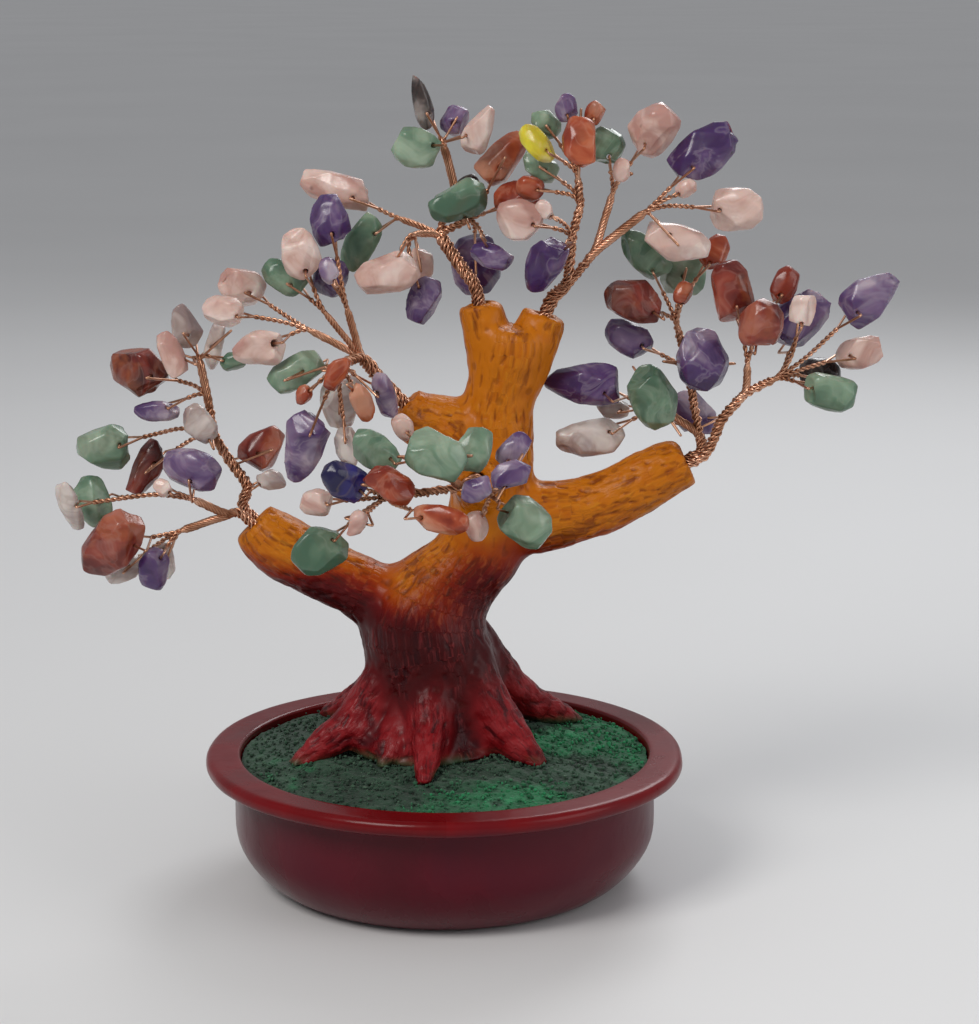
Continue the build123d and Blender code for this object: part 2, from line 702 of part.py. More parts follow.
with BuildPart() as wire_anchors:
    for branch in branches.values():
        bottom = branch.mouth - branch.out * bore_depth
        rod(bottom, branch.pivot - branch.out * branch.bore_radius, branch.stem_radius)
wire_anchors.part.label = "wire_anchors"


def make_twig(stone):
    """A stone's twisted twig, and the eye of wire that goes through the stone."""
    bend, twist, eye_left, eye_right, _ = stone.route()
    offset = unit(eye_right - eye_left) * wire_radius * bundle_packing
    points = [stone.fork, twist] if bend is stone.fork else [stone.fork, bend, twist]
    points[0] = points[0] + unit(points[1] - points[0]) * bundle_radius(1)
    with BuildPart() as twig:
        with BuildLine() as route:
            Polyline(*[tuple(point) for point in points])
        with BuildSketch(Plane(origin=route.line @ 0, z_dir=route.line % 0)):
            RegularPolygon(bundle_radius(1), bundle_sides)
        sweep(transition=Transition.RIGHT)
        with BuildLine() as eye:
            Polyline(*[tuple(end) for end in (twist - offset, eye_left, eye_right, twist + offset)])
        with BuildSketch(Plane(origin=eye.line @ 0, z_dir=eye.line % 0)):
            RegularPolygon(wire_radius, eye_sides)
        sweep(transition=Transition.RIGHT)
        knot(twist, knot_radius(1))
    return twig.part


os.makedirs("parts", exist_ok=True)
for piece in (pot, ground_fill, moss, trunk, wire_anchors):
    export_step(piece.part, f"parts/{piece.part.label}.step")

for name, branch in branches.items():
    twigs = [make_twig(stone) for stone in branch.stones]
    with BuildPart() as wires:
        with Locations(tuple(branch.pivot)):
            Sphere(branch.stem_radius * ball_share)
        rod(branch.pivot, branch.runs[0][1], branch.stem_radius)
        knot(branch.runs[0][1], knot_radius(len(branch.stones)))
        for start, end, fed in branch.runs[1:]:
            bundle(start, end, bundle_radius(fed))
            knot(end, knot_radius(fed))
        add(twigs)
    wires.part.label = f"{name}_wires"
    export_step(wires.part, f"parts/{name}_wires.step")

    for kind in sorted({stone.kind for stone in branch.stones}):
        with BuildPart() as chips:
            for stone in branch.stones:
                if stone.kind == kind:
                    ConvexPolyhedron([tuple(corner) for corner in stone.corners + stone.middle])
                    _, _, eye_left, eye_right, hole = stone.route()
                    bore = unit(eye_right - eye_left) * stone.half_sizes.max() * 2
                    rod(hole - bore, hole + bore, wire_radius + drill_gap, Mode.SUBTRACT)
        chips.part.label = f"{name}_{kind}_chips"
        export_step(chips.part, f"parts/{name}_{kind}_chips.step")
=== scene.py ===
"""Looks of the gemstone tree ornament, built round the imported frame."""

from dataclasses import dataclass
from itertools import product

import bmesh
import bpy
import numpy as np
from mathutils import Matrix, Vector


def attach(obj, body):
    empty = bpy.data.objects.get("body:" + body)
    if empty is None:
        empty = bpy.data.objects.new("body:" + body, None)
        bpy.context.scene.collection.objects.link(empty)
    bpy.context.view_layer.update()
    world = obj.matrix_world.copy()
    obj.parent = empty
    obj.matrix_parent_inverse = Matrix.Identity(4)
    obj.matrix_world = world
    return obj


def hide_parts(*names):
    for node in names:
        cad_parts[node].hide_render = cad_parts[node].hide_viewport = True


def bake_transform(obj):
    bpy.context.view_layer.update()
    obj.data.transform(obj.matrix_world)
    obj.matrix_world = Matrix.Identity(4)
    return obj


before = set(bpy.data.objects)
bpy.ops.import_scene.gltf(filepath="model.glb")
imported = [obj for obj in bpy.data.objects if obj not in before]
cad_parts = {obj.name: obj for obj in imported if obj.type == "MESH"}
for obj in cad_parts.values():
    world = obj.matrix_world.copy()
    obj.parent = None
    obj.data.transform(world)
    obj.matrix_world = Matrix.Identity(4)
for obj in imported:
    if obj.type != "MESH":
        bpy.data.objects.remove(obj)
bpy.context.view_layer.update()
millimetre = 0.001

# Driving sizes, in millimetres. X runs to the right, Y away from the viewer, Z up from the table.
reach = 100.0  # from the pot's axis out to the farthest stones
fork_height = 100.0  # from the table up to the trunk's upper fork
trunk_radius = 14.5
stone_size = 11.0  # a middling chip, across
wire_radius = 0.28  # one copper wire

# Where the front view was seen from, which the tables of places refer to
eye_across = 10.3
eye_distance = 587.0
eye_height = 210.7

# Pot
pot_radius = 55.0
pot_height = 30.5
rim_width = 8.0
lip_thickness = 3.6
lip_round = 1.6
mouth_round = 0.8
neck_round = 2.6
body_radius = 48.6
foot_radius = 37.0
foot_round = 16.0
pot_wall = 3.6
pot_floor = 4.0
floor_round = 12.0

# Moss, ground and the trunk's seat in them
moss_below_rim = 1.8
moss_edge = 1.5
moss_crown = 4.0
fit_gap = 0.3

# Wires, joints and stones
bundle_packing = 1.1
knot_share = 0.9  # of a twig's radius, by which a fork's wound knot stands out of its wires
ball_share = 1.08  # of a stem's radius, in the ball at its bending point
neck_proud = 1.0  # a bending point's height over its cut end
straight_out = 3.5
swing_gap = 0.3
bore_depth = 9.0
mouth_spacing = 5.4  # between two wires that share a limb's end
twist_gap = 2.2  # from a twist's end to its stone
eye_gap = 0.5
stone_gap = 0.45
branch_gap = 1.3
twig_bend = 12.0  # the longest straight start of a twig
shortest_bend = 2.0
spread_rounds = 60
search_rounds = 90

# How the chips are shaped, as shares of their own sizes
ring_level_shares = (-0.93, -0.52, 0.04, 0.56, 0.94)
ring_corners = (4, 6, 7, 6, 4)
fullness = 3.2
corner_shares = (0.8, 1.0)
flatness_shares = (0.62, 0.84)
thinnest_share = 0.32  # of a middling chip
drill_share = 0.56
splay_share = 0.7
bend_share = 0.45
largest_tilt = 22.0
usual_taper = 0.1

# Trunk and limbs: across, back, up and radius, as shares of reach, reach, fork_height and
# trunk_radius. Across and up are as the front view shows them.
trunk_shares = (
    (-0.02, 0, 0.27, 1.18), (-0.02, 0, 0.43, 1.07), (-0.03, 0, 0.52, 1.02), (-0.04, 0, 0.61, 1.02),
    (0.014, 0, 0.7, 0.74), (0.092, 0, 0.79, 0.67), (0.107, 0, 0.9, 0.64), (0.115, 0, 1, 0.61),
    (0.125, 0, 1.1, 0.55), (0.15, 0, 1.21, 0.6), (0.153, 0, 1.285, 0.5),
)
limb_shares = {
    "left_limb": (
        (-0.06, 0, 0.62, 0.75), (-0.195, 0, 0.685, 0.5), (-0.305, 0, 0.744, 0.5), (-0.385, 0, 0.793, 0.48),
        (-0.43, 0, 0.836, 0.36),
    ),
    "right_limb": (
        (0.09, 0, 0.82, 0.62), (0.215, 0, 0.85, 0.58), (0.323, 0, 0.868, 0.5), (0.43, 0, 0.916, 0.465),
        (0.55, 0, 0.975, 0.38),
    ),
    "side_stump": (
        (0.08, 0, 1, 0.6), (0, 0, 1.055, 0.5), (-0.05, 0, 1.07, 0.44), (-0.088, 0, 1.108, 0.33),
    ),
    "front_stump": (
        (0.09, 0, 0.92, 0.5), (0.08, -0.12, 0.925, 0.42), (0.075, -0.2, 0.93, 0.34),
    ),
    "left_top": (
        (0.12, 0, 1.14, 0.42), (0.1, 0, 1.25, 0.39), (0.08, 0, 1.335, 0.33),
    ),
    "right_top": (
        (0.16, 0, 1.14, 0.42), (0.195, 0, 1.23, 0.4), (0.227, 0, 1.31, 0.33),
    ),
}

# Roots: where each tip lies on the moss, as shares of the pot's mouth, and its thickness, as a
# share of the trunk's radius
root_tip_shares = (
    (-0.73, -0.28, 0.36), (-0.3, -0.42, 0.26), (-0.09, -0.64, 0.3), (0.47, -0.36, 0.4), (0.68, 0.49, 0.34),
    (0.12, 0.7, 0.32), (-0.63, 0.62, 0.34),
)
root_path_shares = (
    (0.06, 1.08, 0.85), (0.29, 0.67, 1.12), (0.55, 0.27, 0.97), (0.82, 0.09, 0.66), (1, -0.01, 0.34),
)

# Kinds of stone with long names
rose, white, clear, jasper = "rose_quartz", "white_quartz", "clear_quartz", "red_jasper"

# Branches: the limb each one leaves and the side of that limb's end, then its forks, then its
# stones. A fork has the fork before it, or None for the limb, and its place. A stone has its
# fork, its kind, its place, its length and width as shares of stone_size, its lean clockwise
# from upright in degrees, and how much its far end tapers, where that isn't usual_taper.
# A place is across, back and up, as for the limbs.
branch_shares = {
    "left_low": (
        ("left_limb", -1),
        (None, -0.49, -0.05, 0.852), (0, -0.57, -0.08, 0.89), (0, -0.6, -0.06, 0.815),
        (1, "amethyst", -0.58, -0.06, 0.945, 1.3, 1, -75, 0.2),
        (1, "aventurine", -0.795, -0.03, 0.88, 1.2, 0.85, -25),
        (1, white, -0.845, -0.1, 0.875, 1.3, 0.55, -12, 0.2),
        (1, rose, -0.636, -0.13, 0.915, 0.45, 0.42, -60),
        (2, jasper, -0.755, -0.12, 0.79, 1.65, 1.25, -140, 0.3),
        (2, white, -0.73, -0.03, 0.725, 0.85, 0.6, -115, 0.2),
        (2, "amethyst", -0.67, -0.12, 0.73, 0.95, 0.72, 185, 0.2),
        (2, white, -0.635, -0.03, 0.745, 0.9, 0.42, 175, 0.2),
    ),
    "left_high": (
        ("left_limb", 1),
        (None, -0.44, 0.04, 0.92), (0, -0.475, 0.05, 0.965), (1, -0.515, 0.06, 1.03),
        (2, -0.53, 0.06, 1.125), (3, -0.546, 0.07, 1.21),
        (1, jasper, -0.425, 0.09, 0.995, 1.1, 1, 40, 0.2),
        (0, white, -0.395, 0, 0.925, 0.7, 0.5, 100, 0.2),
        (2, white, -0.56, -0.01, 1.04, 0.9, 0.7, -30),
        (2, jasper, -0.68, 0.09, 0.965, 1.3, 0.75, -155),
        (2, "aventurine", -0.755, 0.05, 1, 1.2, 1.1, -90, 0.2),
        (3, "amethyst", -0.64, 0.035, 1.095, 1, 0.5, -92),
        (3, jasper, -0.68, 0.09, 1.18, 1.3, 1.15, -60, 0.2),
        (4, white, -0.578, 0.09, 1.28, 1, 0.9, -10, 0.6),
        (4, rose, -0.6, 0.02, 1.22, 1.1, 0.6, -25, 0.2),
        (4, white, -0.515, 0.11, 1.245, 1.2, 0.45, 15, 0.3),
        (4, "aventurine", -0.47, 0.05, 1.205, 0.55, 0.5, 80),
    ),
    "mid_left": (
        ("side_stump", 0),
        (None, -0.185, -0.05, 1.215), (0, -0.3, -0.06, 1.275), (0, -0.265, -0.08, 1.315),
        (0, -0.215, -0.08, 1.325), (0, -0.225, -0.14, 1.2),
        (1, rose, -0.44, -0.03, 1.375, 1, 0.9, -60),
        (1, rose, -0.485, -0.1, 1.315, 0.85, 0.8, -80),
        (1, rose, -0.42, -0.1, 1.27, 1.2, 0.9, -100, 0.2),
        (2, "aventurine", -0.36, -0.04, 1.39, 1, 0.7, -55),
        (2, rose, -0.31, -0.1, 1.45, 1.1, 0.9, -20),
        (3, "amethyst", -0.252, -0.15, 1.41, 0.6, 0.5, -20, 0.2),
        (3, "amethyst", -0.205, -0.03, 1.42, 0.8, 0.8, 15),
        (3, "amethyst", -0.255, -0.06, 1.515, 1.1, 1.05, -5, 0.3),
        (4, "aventurine", -0.33, -0.09, 1.18, 1.2, 0.75, -120),
        (4, "carnelian", -0.225, -0.21, 1.17, 0.8, 0.55, -150),
        (4, white, -0.235, -0.11, 1.1, 1.2, 1.1, 180, 0.2),
        (4, "amethyst", -0.14, -0.14, 1.115, 1.2, 0.6, 165, 0.3),
        (4, "amethyst", -0.305, -0.16, 1.025, 1.7, 1.15, -165, 0.4),
        (4, white, -0.22, -0.15, 1.01, 0.9, 0.6, 178, 0.2),
        (4, "carnelian", -0.315, -0.2, 1.115, 0.45, 0.4, -140),
        (4, "carnelian", -0.175, -0.22, 1.12, 0.9, 0.5, 165, 0.2),
    ),
    "top_left": (
        ("left_top", 0),
        (None, 0.03, 0.03, 1.43), (0, -0.01, 0.05, 1.49), (1, -0.1, 0.06, 1.525), (1, -0.065, 0.03, 1.49),
        (1, 0.028, 0.07, 1.59), (4, 0, 0.07, 1.69), (1, 0.055, 0.04, 1.52),
        (2, rose, -0.235, 0.08, 1.585, 1.6, 0.85, -72, 0.2),
        (2, "aventurine", -0.175, 0.04, 1.495, 1.3, 0.8, -150, 0.2),
        (3, rose, -0.11, 0, 1.425, 1.3, 0.9, -110),
        (3, rose, -0.04, 0.07, 1.425, 1.1, 0.55, 180, 0.2),
        (3, "amethyst", -0.06, -0.01, 1.36, 1, 0.8, -160),
        (5, clear, -0.042, 0.08, 1.778, 1.25, 0.6, -14, 0.65),
        (5, "aventurine", -0.06, 0.03, 1.68, 1.05, 0.95, -70),
        (5, "amethyst", 0.024, 0.11, 1.735, 0.65, 0.65, 30),
        (5, rose, 0.078, 0.05, 1.715, 1.2, 0.65, 25, 0.2),
        (4, clear, 0.06, 0.12, 1.603, 0.5, 0.4, 60),
        (6, "aventurine", 0.045, -0.01, 1.55, 1.3, 0.9, 75),
        (6, "amethyst", 0.085, 0.01, 1.495, 1, 0.6, 105),
        (6, "amethyst", 0.065, 0.11, 1.42, 1.3, 1.2, 175, 0.2),
        (6, "carnelian", 0.125, 0.1, 1.64, 1.3, 1, 45, 0.5),
        (6, "carnelian", 0.15, 0.05, 1.575, 0.95, 0.9, 75),
    ),
    "top_right": (
        ("right_top", 0),
        (None, 0.277, -0.03, 1.376), (0, 0.285, -0.05, 1.48), (1, 0.305, -0.05, 1.554),
        (2, 0.297, -0.05, 1.62), (0, 0.337, -0.03, 1.45), (4, 0.375, -0.02, 1.58), (4, 0.45, -0.05, 1.54),
        (1, rose, 0.172, -0.07, 1.514, 1, 0.95, -75),
        (1, "amethyst", 0.218, -0.1, 1.44, 1.4, 1.1, -160, 0.5),
        (2, "carnelian", 0.2, -0.03, 1.6, 0.6, 0.55, -55),
        (1, rose, 0.225, -0.14, 1.54, 0.5, 0.45, -40),
        (3, "citrine", 0.212, -0.06, 1.685, 0.95, 0.55, -45),
        (3, "aventurine", 0.24, -0.01, 1.735, 0.7, 0.6, -35),
        (3, "carnelian", 0.293, -0.1, 1.685, 1.1, 0.85, -10),
        (3, "carnelian", 0.325, -0.04, 1.75, 0.5, 0.45, 15),
        (2, "aventurine", 0.212, 0, 1.63, 0.8, 0.6, -60),
        (3, "amethyst", 0.27, -0.04, 1.755, 0.6, 0.5, -10),
        (5, "aventurine", 0.366, -0.01, 1.69, 0.9, 0.8, -5),
        (5, rose, 0.395, -0.09, 1.63, 0.5, 0.42, 15),
        (5, rose, 0.462, -0.04, 1.718, 1.2, 1.1, 35, 0.2),
        (6, "amethyst", 0.578, -0.05, 1.663, 1.6, 1.2, 55, 0.3),
        (6, rose, 0.54, -0.12, 1.6, 0.5, 0.4, 60),
        (6, rose, 0.525, -0.04, 1.515, 1.4, 0.9, 105),
        (6, rose, 0.64, -0.06, 1.54, 1.2, 1.1, 85, 0.2),
    ),
    "right_inner": (
        ("right_limb", 1),
        (None, 0.575, 0.06, 1.04), (0, 0.5, 0.07, 1.09), (0, 0.55, 0.08, 1.17), (2, 0.52, 0.07, 1.29),
        (1, "amethyst", 0.31, 0.03, 1.155, 1.7, 1.2, -88, 0.5),
        (1, white, 0.38, 0.1, 1.085, 0.8, 0.45, -90),
        (1, white, 0.336, 0.05, 1.035, 1.5, 0.9, -95),
        (1, "aventurine", 0.46, 0.01, 1.15, 1.4, 1.15, -30, 0.2),
        (0, "amethyst", 0.56, 0.13, 1.083, 1.15, 0.9, -40),
        (2, "amethyst", 0.545, 0, 1.265, 1.35, 1.15, -5),
        (2, "amethyst", 0.418, 0.07, 1.24, 1.1, 0.8, -65, 0.2),
        (3, "aventurine", 0.453, 0.07, 1.44, 1.3, 0.85, -50, 0.2),
        (3, "aventurine", 0.53, 0.12, 1.415, 1.25, 1.15, 5),
        (3, "carnelian", 0.598, 0.05, 1.45, 0.85, 0.6, 30),
        (3, jasper, 0.42, 0.01, 1.345, 1.3, 1.2, -80, 0.5),
        (3, "carnelian", 0.535, 0.01, 1.352, 0.5, 0.45, 20),
    ),
    "right_outer": (
        ("right_limb", -1),
        (None, 0.625, -0.05, 1.075), (0, 0.68, -0.06, 1.135), (1, 0.68, -0.07, 1.2),
        (1, 0.745, -0.08, 1.165),
        (2, jasper, 0.638, -0.05, 1.35, 1.3, 1.1, -12, 0.2),
        (2, jasper, 0.704, -0.12, 1.3, 1.1, 1, 8),
        (2, "carnelian", 0.76, -0.04, 1.37, 0.8, 0.6, 30),
        (3, rose, 0.776, -0.13, 1.32, 0.8, 0.65, 10),
        (3, "amethyst", 0.818, -0.05, 1.264, 1.5, 1.2, 45, 0.2),
        (3, "amethyst", 0.945, -0.08, 1.33, 1.4, 1.3, 48, 0.6),
        (3, rose, 0.922, -0.06, 1.236, 1.1, 0.8, 70),
        (3, "aventurine", 0.866, -0.12, 1.145, 1.1, 0.9, 100),
        (3, clear, 0.845, -0.03, 1.185, 0.85, 0.8, 85),
    ),
    "front": (
        ("front_stump", 0),
        (None, 0.04, -0.28, 0.915), (0, -0.12, -0.37, 0.895), (0, 0.1, -0.36, 0.9), (0, 0, -0.35, 0.95),
        (3, "aventurine", -0.152, -0.41, 1.00, 1.1, 0.8, -55),
        (3, rose, -0.09, -0.34, 1.056, 0.55, 0.45, -30),
        (3, "aventurine", -0.019, -0.5, 0.976, 1.3, 1, -60),
        (3, "aventurine", 0.058, -0.42, 1.005, 1, 0.9, 30),
        (2, "amethyst", 0.16, -0.38, 1.00, 0.8, 0.65, 40),
        (2, "amethyst", 0.067, -0.53, 0.917, 0.7, 0.55, 60),
        (2, "amethyst", 0.14, -0.47, 0.935, 0.9, 0.65, 75),
        (2, "aventurine", 0.16, -0.45, 0.832, 1.1, 1.05, 130),
        (2, rose, 0.07, -0.45, 0.835, 0.6, 0.5, 170),
        (1, "carnelian", -0.105, -0.5, 0.925, 1.1, 0.75, -60),
        (1, "carnelian", -0.019, -0.52, 0.85, 1.2, 0.65, 95),
        (1, "lapis", -0.225, -0.45, 0.932, 0.95, 0.85, -50, 0.2),
        (1, rose, -0.29, -0.4, 0.876, 0.7, 0.6, -85),
        (1, rose, -0.2, -0.48, 0.83, 0.6, 0.45, -150),
        (1, "aventurine", -0.285, -0.42, 0.778, 1.1, 1.05, -130),
    ),
}


@dataclass
class Stone:
    """One chip: its corners about its middle, and the twig and wire eye that carry it."""

    kind: str
    branch: str
    fork: np.ndarray
    heading: np.ndarray
    half_sizes: np.ndarray
    turn: np.ndarray
    corners: np.ndarray
    middle: np.ndarray

    def route(self):
        """The twig's bend and twist end, and the eye's two corners."""
        straight = self.middle - self.fork
        free = np.linalg.norm(straight) - self.half_sizes.max() - twist_gap
        bend = self.fork
        if free > shortest_bend:
            start = unit(unit(straight) + splay_share * self.heading)
            bend = self.fork + start * min(bend_share * free, twig_bend)
        way = unit(self.middle - bend)
        rise = self.corners @ way
        low = -rise.min() + twist_gap
        side = np.array((0, 1, 0) if abs(way[1]) < 0.8 else (1, 0, 0))
        side = unit(side - way * (side @ way))
        slope = ((abs(self.corners @ side) + wire_radius + eye_gap) / (rise + low)).max()
        depth = drill_share / np.linalg.norm((self.turn.T @ way) / self.half_sizes)
        hole = self.middle - way * depth
        half_eye = side * slope * (low - depth)
        return bend, self.middle - way * low, hole - half_eye, hole + half_eye


def unit(vector):
    """The same direction with a length of one."""
    return vector / np.linalg.norm(vector)


def placed(across, back, up):
    """The place of a point that the front view shows at across and up, and that lies back."""
    eye = np.array((eye_across, -eye_distance, eye_height))
    shown = np.array((across * reach, 0, up * fork_height))
    return eye + (shown - eye) * (1 + back * reach / eye_distance)


def bundle_radius(stones):
    """The radius of the wires that feed so many stones, two wires for each."""
    return wire_radius * bundle_packing * (2 * stones) ** 0.5


def knot_radius(stones):
    """The radius of the wound knot where so many stones' wires part."""
    return bundle_radius(stones) + knot_share * bundle_radius(1)


def chip(length, width, lean, seed, taper=usual_taper):
    """Half sizes, turn and corners of a tumbled chip about its middle."""
    draw = np.random.default_rng(seed)
    depth = width * draw.uniform(*flatness_shares)
    depth = max(depth, min(width, thinnest_share * stone_size))
    half_sizes = np.array((width, depth, length)) / 2
    corners = []
    for level, count in zip(ring_level_shares, ring_corners):
        ring = (1 - abs(level) ** fullness) ** (1 / fullness) * (1 - taper * (level + 1) / 2)
        for angle in 2 * np.pi * (np.arange(count) + draw.uniform(-0.2, 0.2, count)) / count:
            side, front = np.cos(angle), np.sin(angle)
            out = (abs(side) ** fullness + abs(front) ** fullness) ** (-1 / fullness)
            out *= ring * draw.uniform(*corner_shares)
            corners.append(half_sizes * (out * side, out * front, level))
    tilt = np.radians(draw.uniform(-largest_tilt, largest_tilt))
    lean = np.radians(lean)
    about_x = ((1, 0, 0), (0, np.cos(tilt), -np.sin(tilt)), (0, np.sin(tilt), np.cos(tilt)))
    about_y = ((np.cos(lean), 0, np.sin(lean)), (0, 1, 0), (-np.sin(lean), 0, np.cos(lean)))
    turn = np.array(about_y) @ np.array(about_x)
    return half_sizes, turn, np.array(corners) @ turn.T


def distance(one, other):
    """The gap between two convex bodies, each given as points and a radius, and its way."""
    apart = one[0].mean(axis=0) - other[0].mean(axis=0)
    for _ in range(search_rounds):
        far = one[0][(one[0] @ apart).argmin()] - other[0][(other[0] @ apart).argmax()]
        step = apart - far
        if apart @ step < 1e-4 + 0.01 * np.linalg.norm(apart):
            break
        apart = apart - step * min(max(apart @ step / (step @ step), 0), 1)
    length = np.linalg.norm(apart)
    return length - one[1] - other[1], apart / max(length, 1e-9)


def spread_apart(stones, fixed):
    """Moves stones that lie too close to others, to twigs or to the wood, a little at a time."""
    for _ in range(spread_rounds):
        bodies, lines = [], []
        for owner, stone in enumerate(stones):
            bend, twist, eye_left, eye_right = stone.route()
            hull = np.vstack((stone.corners + stone.middle, eye_left, eye_right))
            bodies.append((hull, wire_radius))
            lines += [
                (owner, (np.array((stone.fork, bend)), bundle_radius(1))),
                (owner, (np.array((bend, twist)), bundle_radius(1))),
                (owner, (np.array((twist,)), knot_radius(1))),
                (owner, (np.array((twist, eye_left, eye_right)), wire_radius)),
            ]
        lines += [(None, body) for body in fixed]
        spans = [np.ptp(body[0], axis=0).max() for body in bodies]
        moved = 0
        for first, stone in enumerate(stones):
            for second in range(first + 1, len(stones)):
                other = stones[second]
                wanted = stone_gap if stone.branch == other.branch else branch_gap
                if np.linalg.norm(stone.middle - other.middle) > spans[first] + spans[second] + wanted:
                    continue
                gap, way = distance(bodies[first], bodies[second])
                if gap < wanted:
                    way = way if gap > -wire_radius else unit(stone.middle - other.middle)
                    push = way * max(wanted - gap, wanted) / 2
                    stone.middle, other.middle = stone.middle + push, other.middle - push
                    moved += 1
            for owner, line in lines:
                if owner == first:
                    continue
                near = line[0].mean(axis=0) - stone.middle
                if np.linalg.norm(near) > spans[first] + np.ptp(line[0], axis=0).max() + line[1]:
                    continue
                gap, way = distance(bodies[first], line)
                if gap < stone_gap:
                    way = way if gap > -line[1] - wire_radius else unit(-near)
                    stone.middle = stone.middle + way * max(stone_gap - gap, stone_gap)
                    moved += 1
        if not moved:
            break


def stations(shares):
    """Centres and radii of a limb's sections."""
    return [(placed(across, back, up), radius * trunk_radius) for across, back, up, radius in shares]


# Heights that follow from the pot
mouth_radius = pot_radius - rim_width
moss_base = pot_height - moss_below_rim - moss_edge
moss_top = moss_base + moss_edge + moss_crown
cavity_radius = body_radius - pot_wall
moss_radius = mouth_radius - fit_gap
dome_radius = (moss_radius**2 + moss_crown**2) / (2 * moss_crown)
foot_rise = (foot_round**2 - (foot_radius - body_radius + foot_round) ** 2) ** 0.5


def dome_drop(radius):
    """How far the moss falls from its crown at a radius."""
    return dome_radius - (dome_radius**2 - radius**2) ** 0.5


# Limbs, roots and the branches that leave them
fork_columns = 4
limbs = {name: stations(shares) for name, shares in limb_shares.items()}
trunk_stations = stations(trunk_shares)


def root_stations(across, back, thickness):
    """A root's sections, from inside the trunk's foot out to its tip on the moss."""
    foot = trunk_stations[0][0]
    tip = np.array((across, back, 0)) * mouth_radius
    sections = []
    for way, rise, radius in root_path_shares:
        level = moss_top - dome_drop(np.linalg.norm(tip * way)) + rise * trunk_radius * 2
        centre = np.array((foot[0], foot[1], 0)) * (1 - way) + tip * way + (0, 0, level)
        sections.append((centre, radius * thickness * trunk_radius))
    return sections


@dataclass
class Branch:
    """One branch: its mouth, the way out, its bending point, its stem's runs and its stones."""

    mouth: np.ndarray
    out: np.ndarray
    pivot: np.ndarray
    runs: list
    stones: list


def make_branch(name, seed, leaves, *rows):
    """Works out a branch's stem runs, as start, end and stones fed, and its stones."""
    limb_name, side = leaves
    forks = [row for row in rows if len(row) == fork_columns]
    stones = rows[len(forks):]
    (before, _), (mouth, _) = limbs[limb_name][-2:]
    out = unit(mouth - before)
    mouth = mouth + np.array((0, side * mouth_spacing / 2, 0))
    places = [placed(*fork[1:]) for fork in forks]
    load = [0] * len(forks)
    for stone in stones:
        fork = stone[0]
        while fork is not None:
            load[fork] += 1
            fork = forks[fork][0]
    pivot = mouth + out * neck_proud
    runs = [(pivot, pivot + out * straight_out, len(stones))]
    headings = []
    for (before, *_), place, fed in zip(forks, places, load):
        start = runs[0][1] if before is None else places[before]
        runs.append((start, place, max(fed, 1)))
        headings.append(unit(place - start))
    made = []
    for number, (fork, kind, across, back, up, length, width, lean, *taper) in enumerate(stones):
        shape = chip(length * stone_size, width * stone_size, lean, seed + number, *taper)
        made.append(Stone(kind, name, places[fork], headings[fork], *shape, placed(across, back, up)))
    return Branch(mouth, out, pivot, runs, made)


branches = {
    name: make_branch(name, 100 * number, *rows)
    for number, (name, rows) in enumerate(branch_shares.items())
}
all_stones = [stone for branch in branches.values() for stone in branch.stones]
wood = [trunk_stations, *limbs.values()]
kept_clear = [
    (np.array((low[0], high[0])), max(low[1], high[1]))
    for sections in wood
    for low, high in zip(sections, sections[1:])
]
for branch in branches.values():
    kept_clear += [(np.array((start, end)), knot_radius(fed)) for start, end, fed in branch.runs]
spread_apart(all_stones, kept_clear)

# Seeds and values that only the looks use
wood_seed = 3
pot_seed = 21
moss_seed = 40
stone_seed = 60
wire_seed = 80
cell_factors = (73856093, 19349663, 83492791)
seed_factor = 2654435761
spread_factor = 1274126177
cell_mask = 0xFFFFFF
pot_steps = 256
bark_voxel = 0.51
joint_rounds = 60
limb_steps = 4
moss_step = 0.5
crumbs = 5200
stone_voxel = 0.32
stone_rounds = 4
worn_sides = 5
grain_spread = 40.0
wind_steps = 10
wire_sides = 6
twig_pitch = 2.6
stem_pitch = 10.0
pair_pitch = 3.6
loose_share = 0.84
touching = 1.04 * wire_radius
fewest_paired = 5
closing = 1.6
overlap = 2.6
path_ease = 3.0
eye_ease = 0.8
eye_step = 0.3
stem_depth = 4.0
camera_tilt = 12.0
camera_lens = 93.16
camera_sensor = 36.0
floor_half = 40.0
sky_colour = (0.86, 0.87, 0.9, 1)
sky_strength = 0.42

# Cuts in the bark of the trunk, of each limb and of the roots: rows round it, length, slant
trunk_cuts = (22, 4.6, 0.06)
limb_cuts = {
    "left_limb": (13, 3.4, 0.12),
    "right_limb": (15, 3.2, -0.14),
    "side_stump": (13, 3.2, 0.1),
    "front_stump": (12, 3.4, 0.1),
    "left_top": (13, 7.0, 0.02),
    "right_top": (13, 7.0, -0.02),
}
root_cuts = (9, 5.0, 0.05)

# Relief, in millimetres: the size and the height of each layer
pot_relief = ((26, 0.45), (9, 0.12))
moss_relief = ((7, 0.5), (2.4, 0.45), (1.1, 0.4))
stone_relief = ((5, 0.24), (1.6, 0.05))
stone_swell = 0.12
stone_hollow = 0.6
bark_sizes = (8, 2.4, 1.2)
bark_heights = (0.45, 0.16, 0.07)
root_beaten = 0.1
cut_depth = 0.42
root_hollow = 1.2
pit_spacing = 4.4
pit_depth = 0.2

# The moss's bright patches: the size and the share of each layer
moss_patches = ((17, 1), (3, 0.35))

# Heights on the trunk between which a paint, or the hollow over the roots, fades
crimson_to_amber = (60, 84)
amber_all_round = (72, 84)
root_paint_ends = (42, 54)
root_hollow_ends = (38, 52)


def lengths(vectors):
    """The length of each row."""
    return np.linalg.norm(vectors, axis=1)


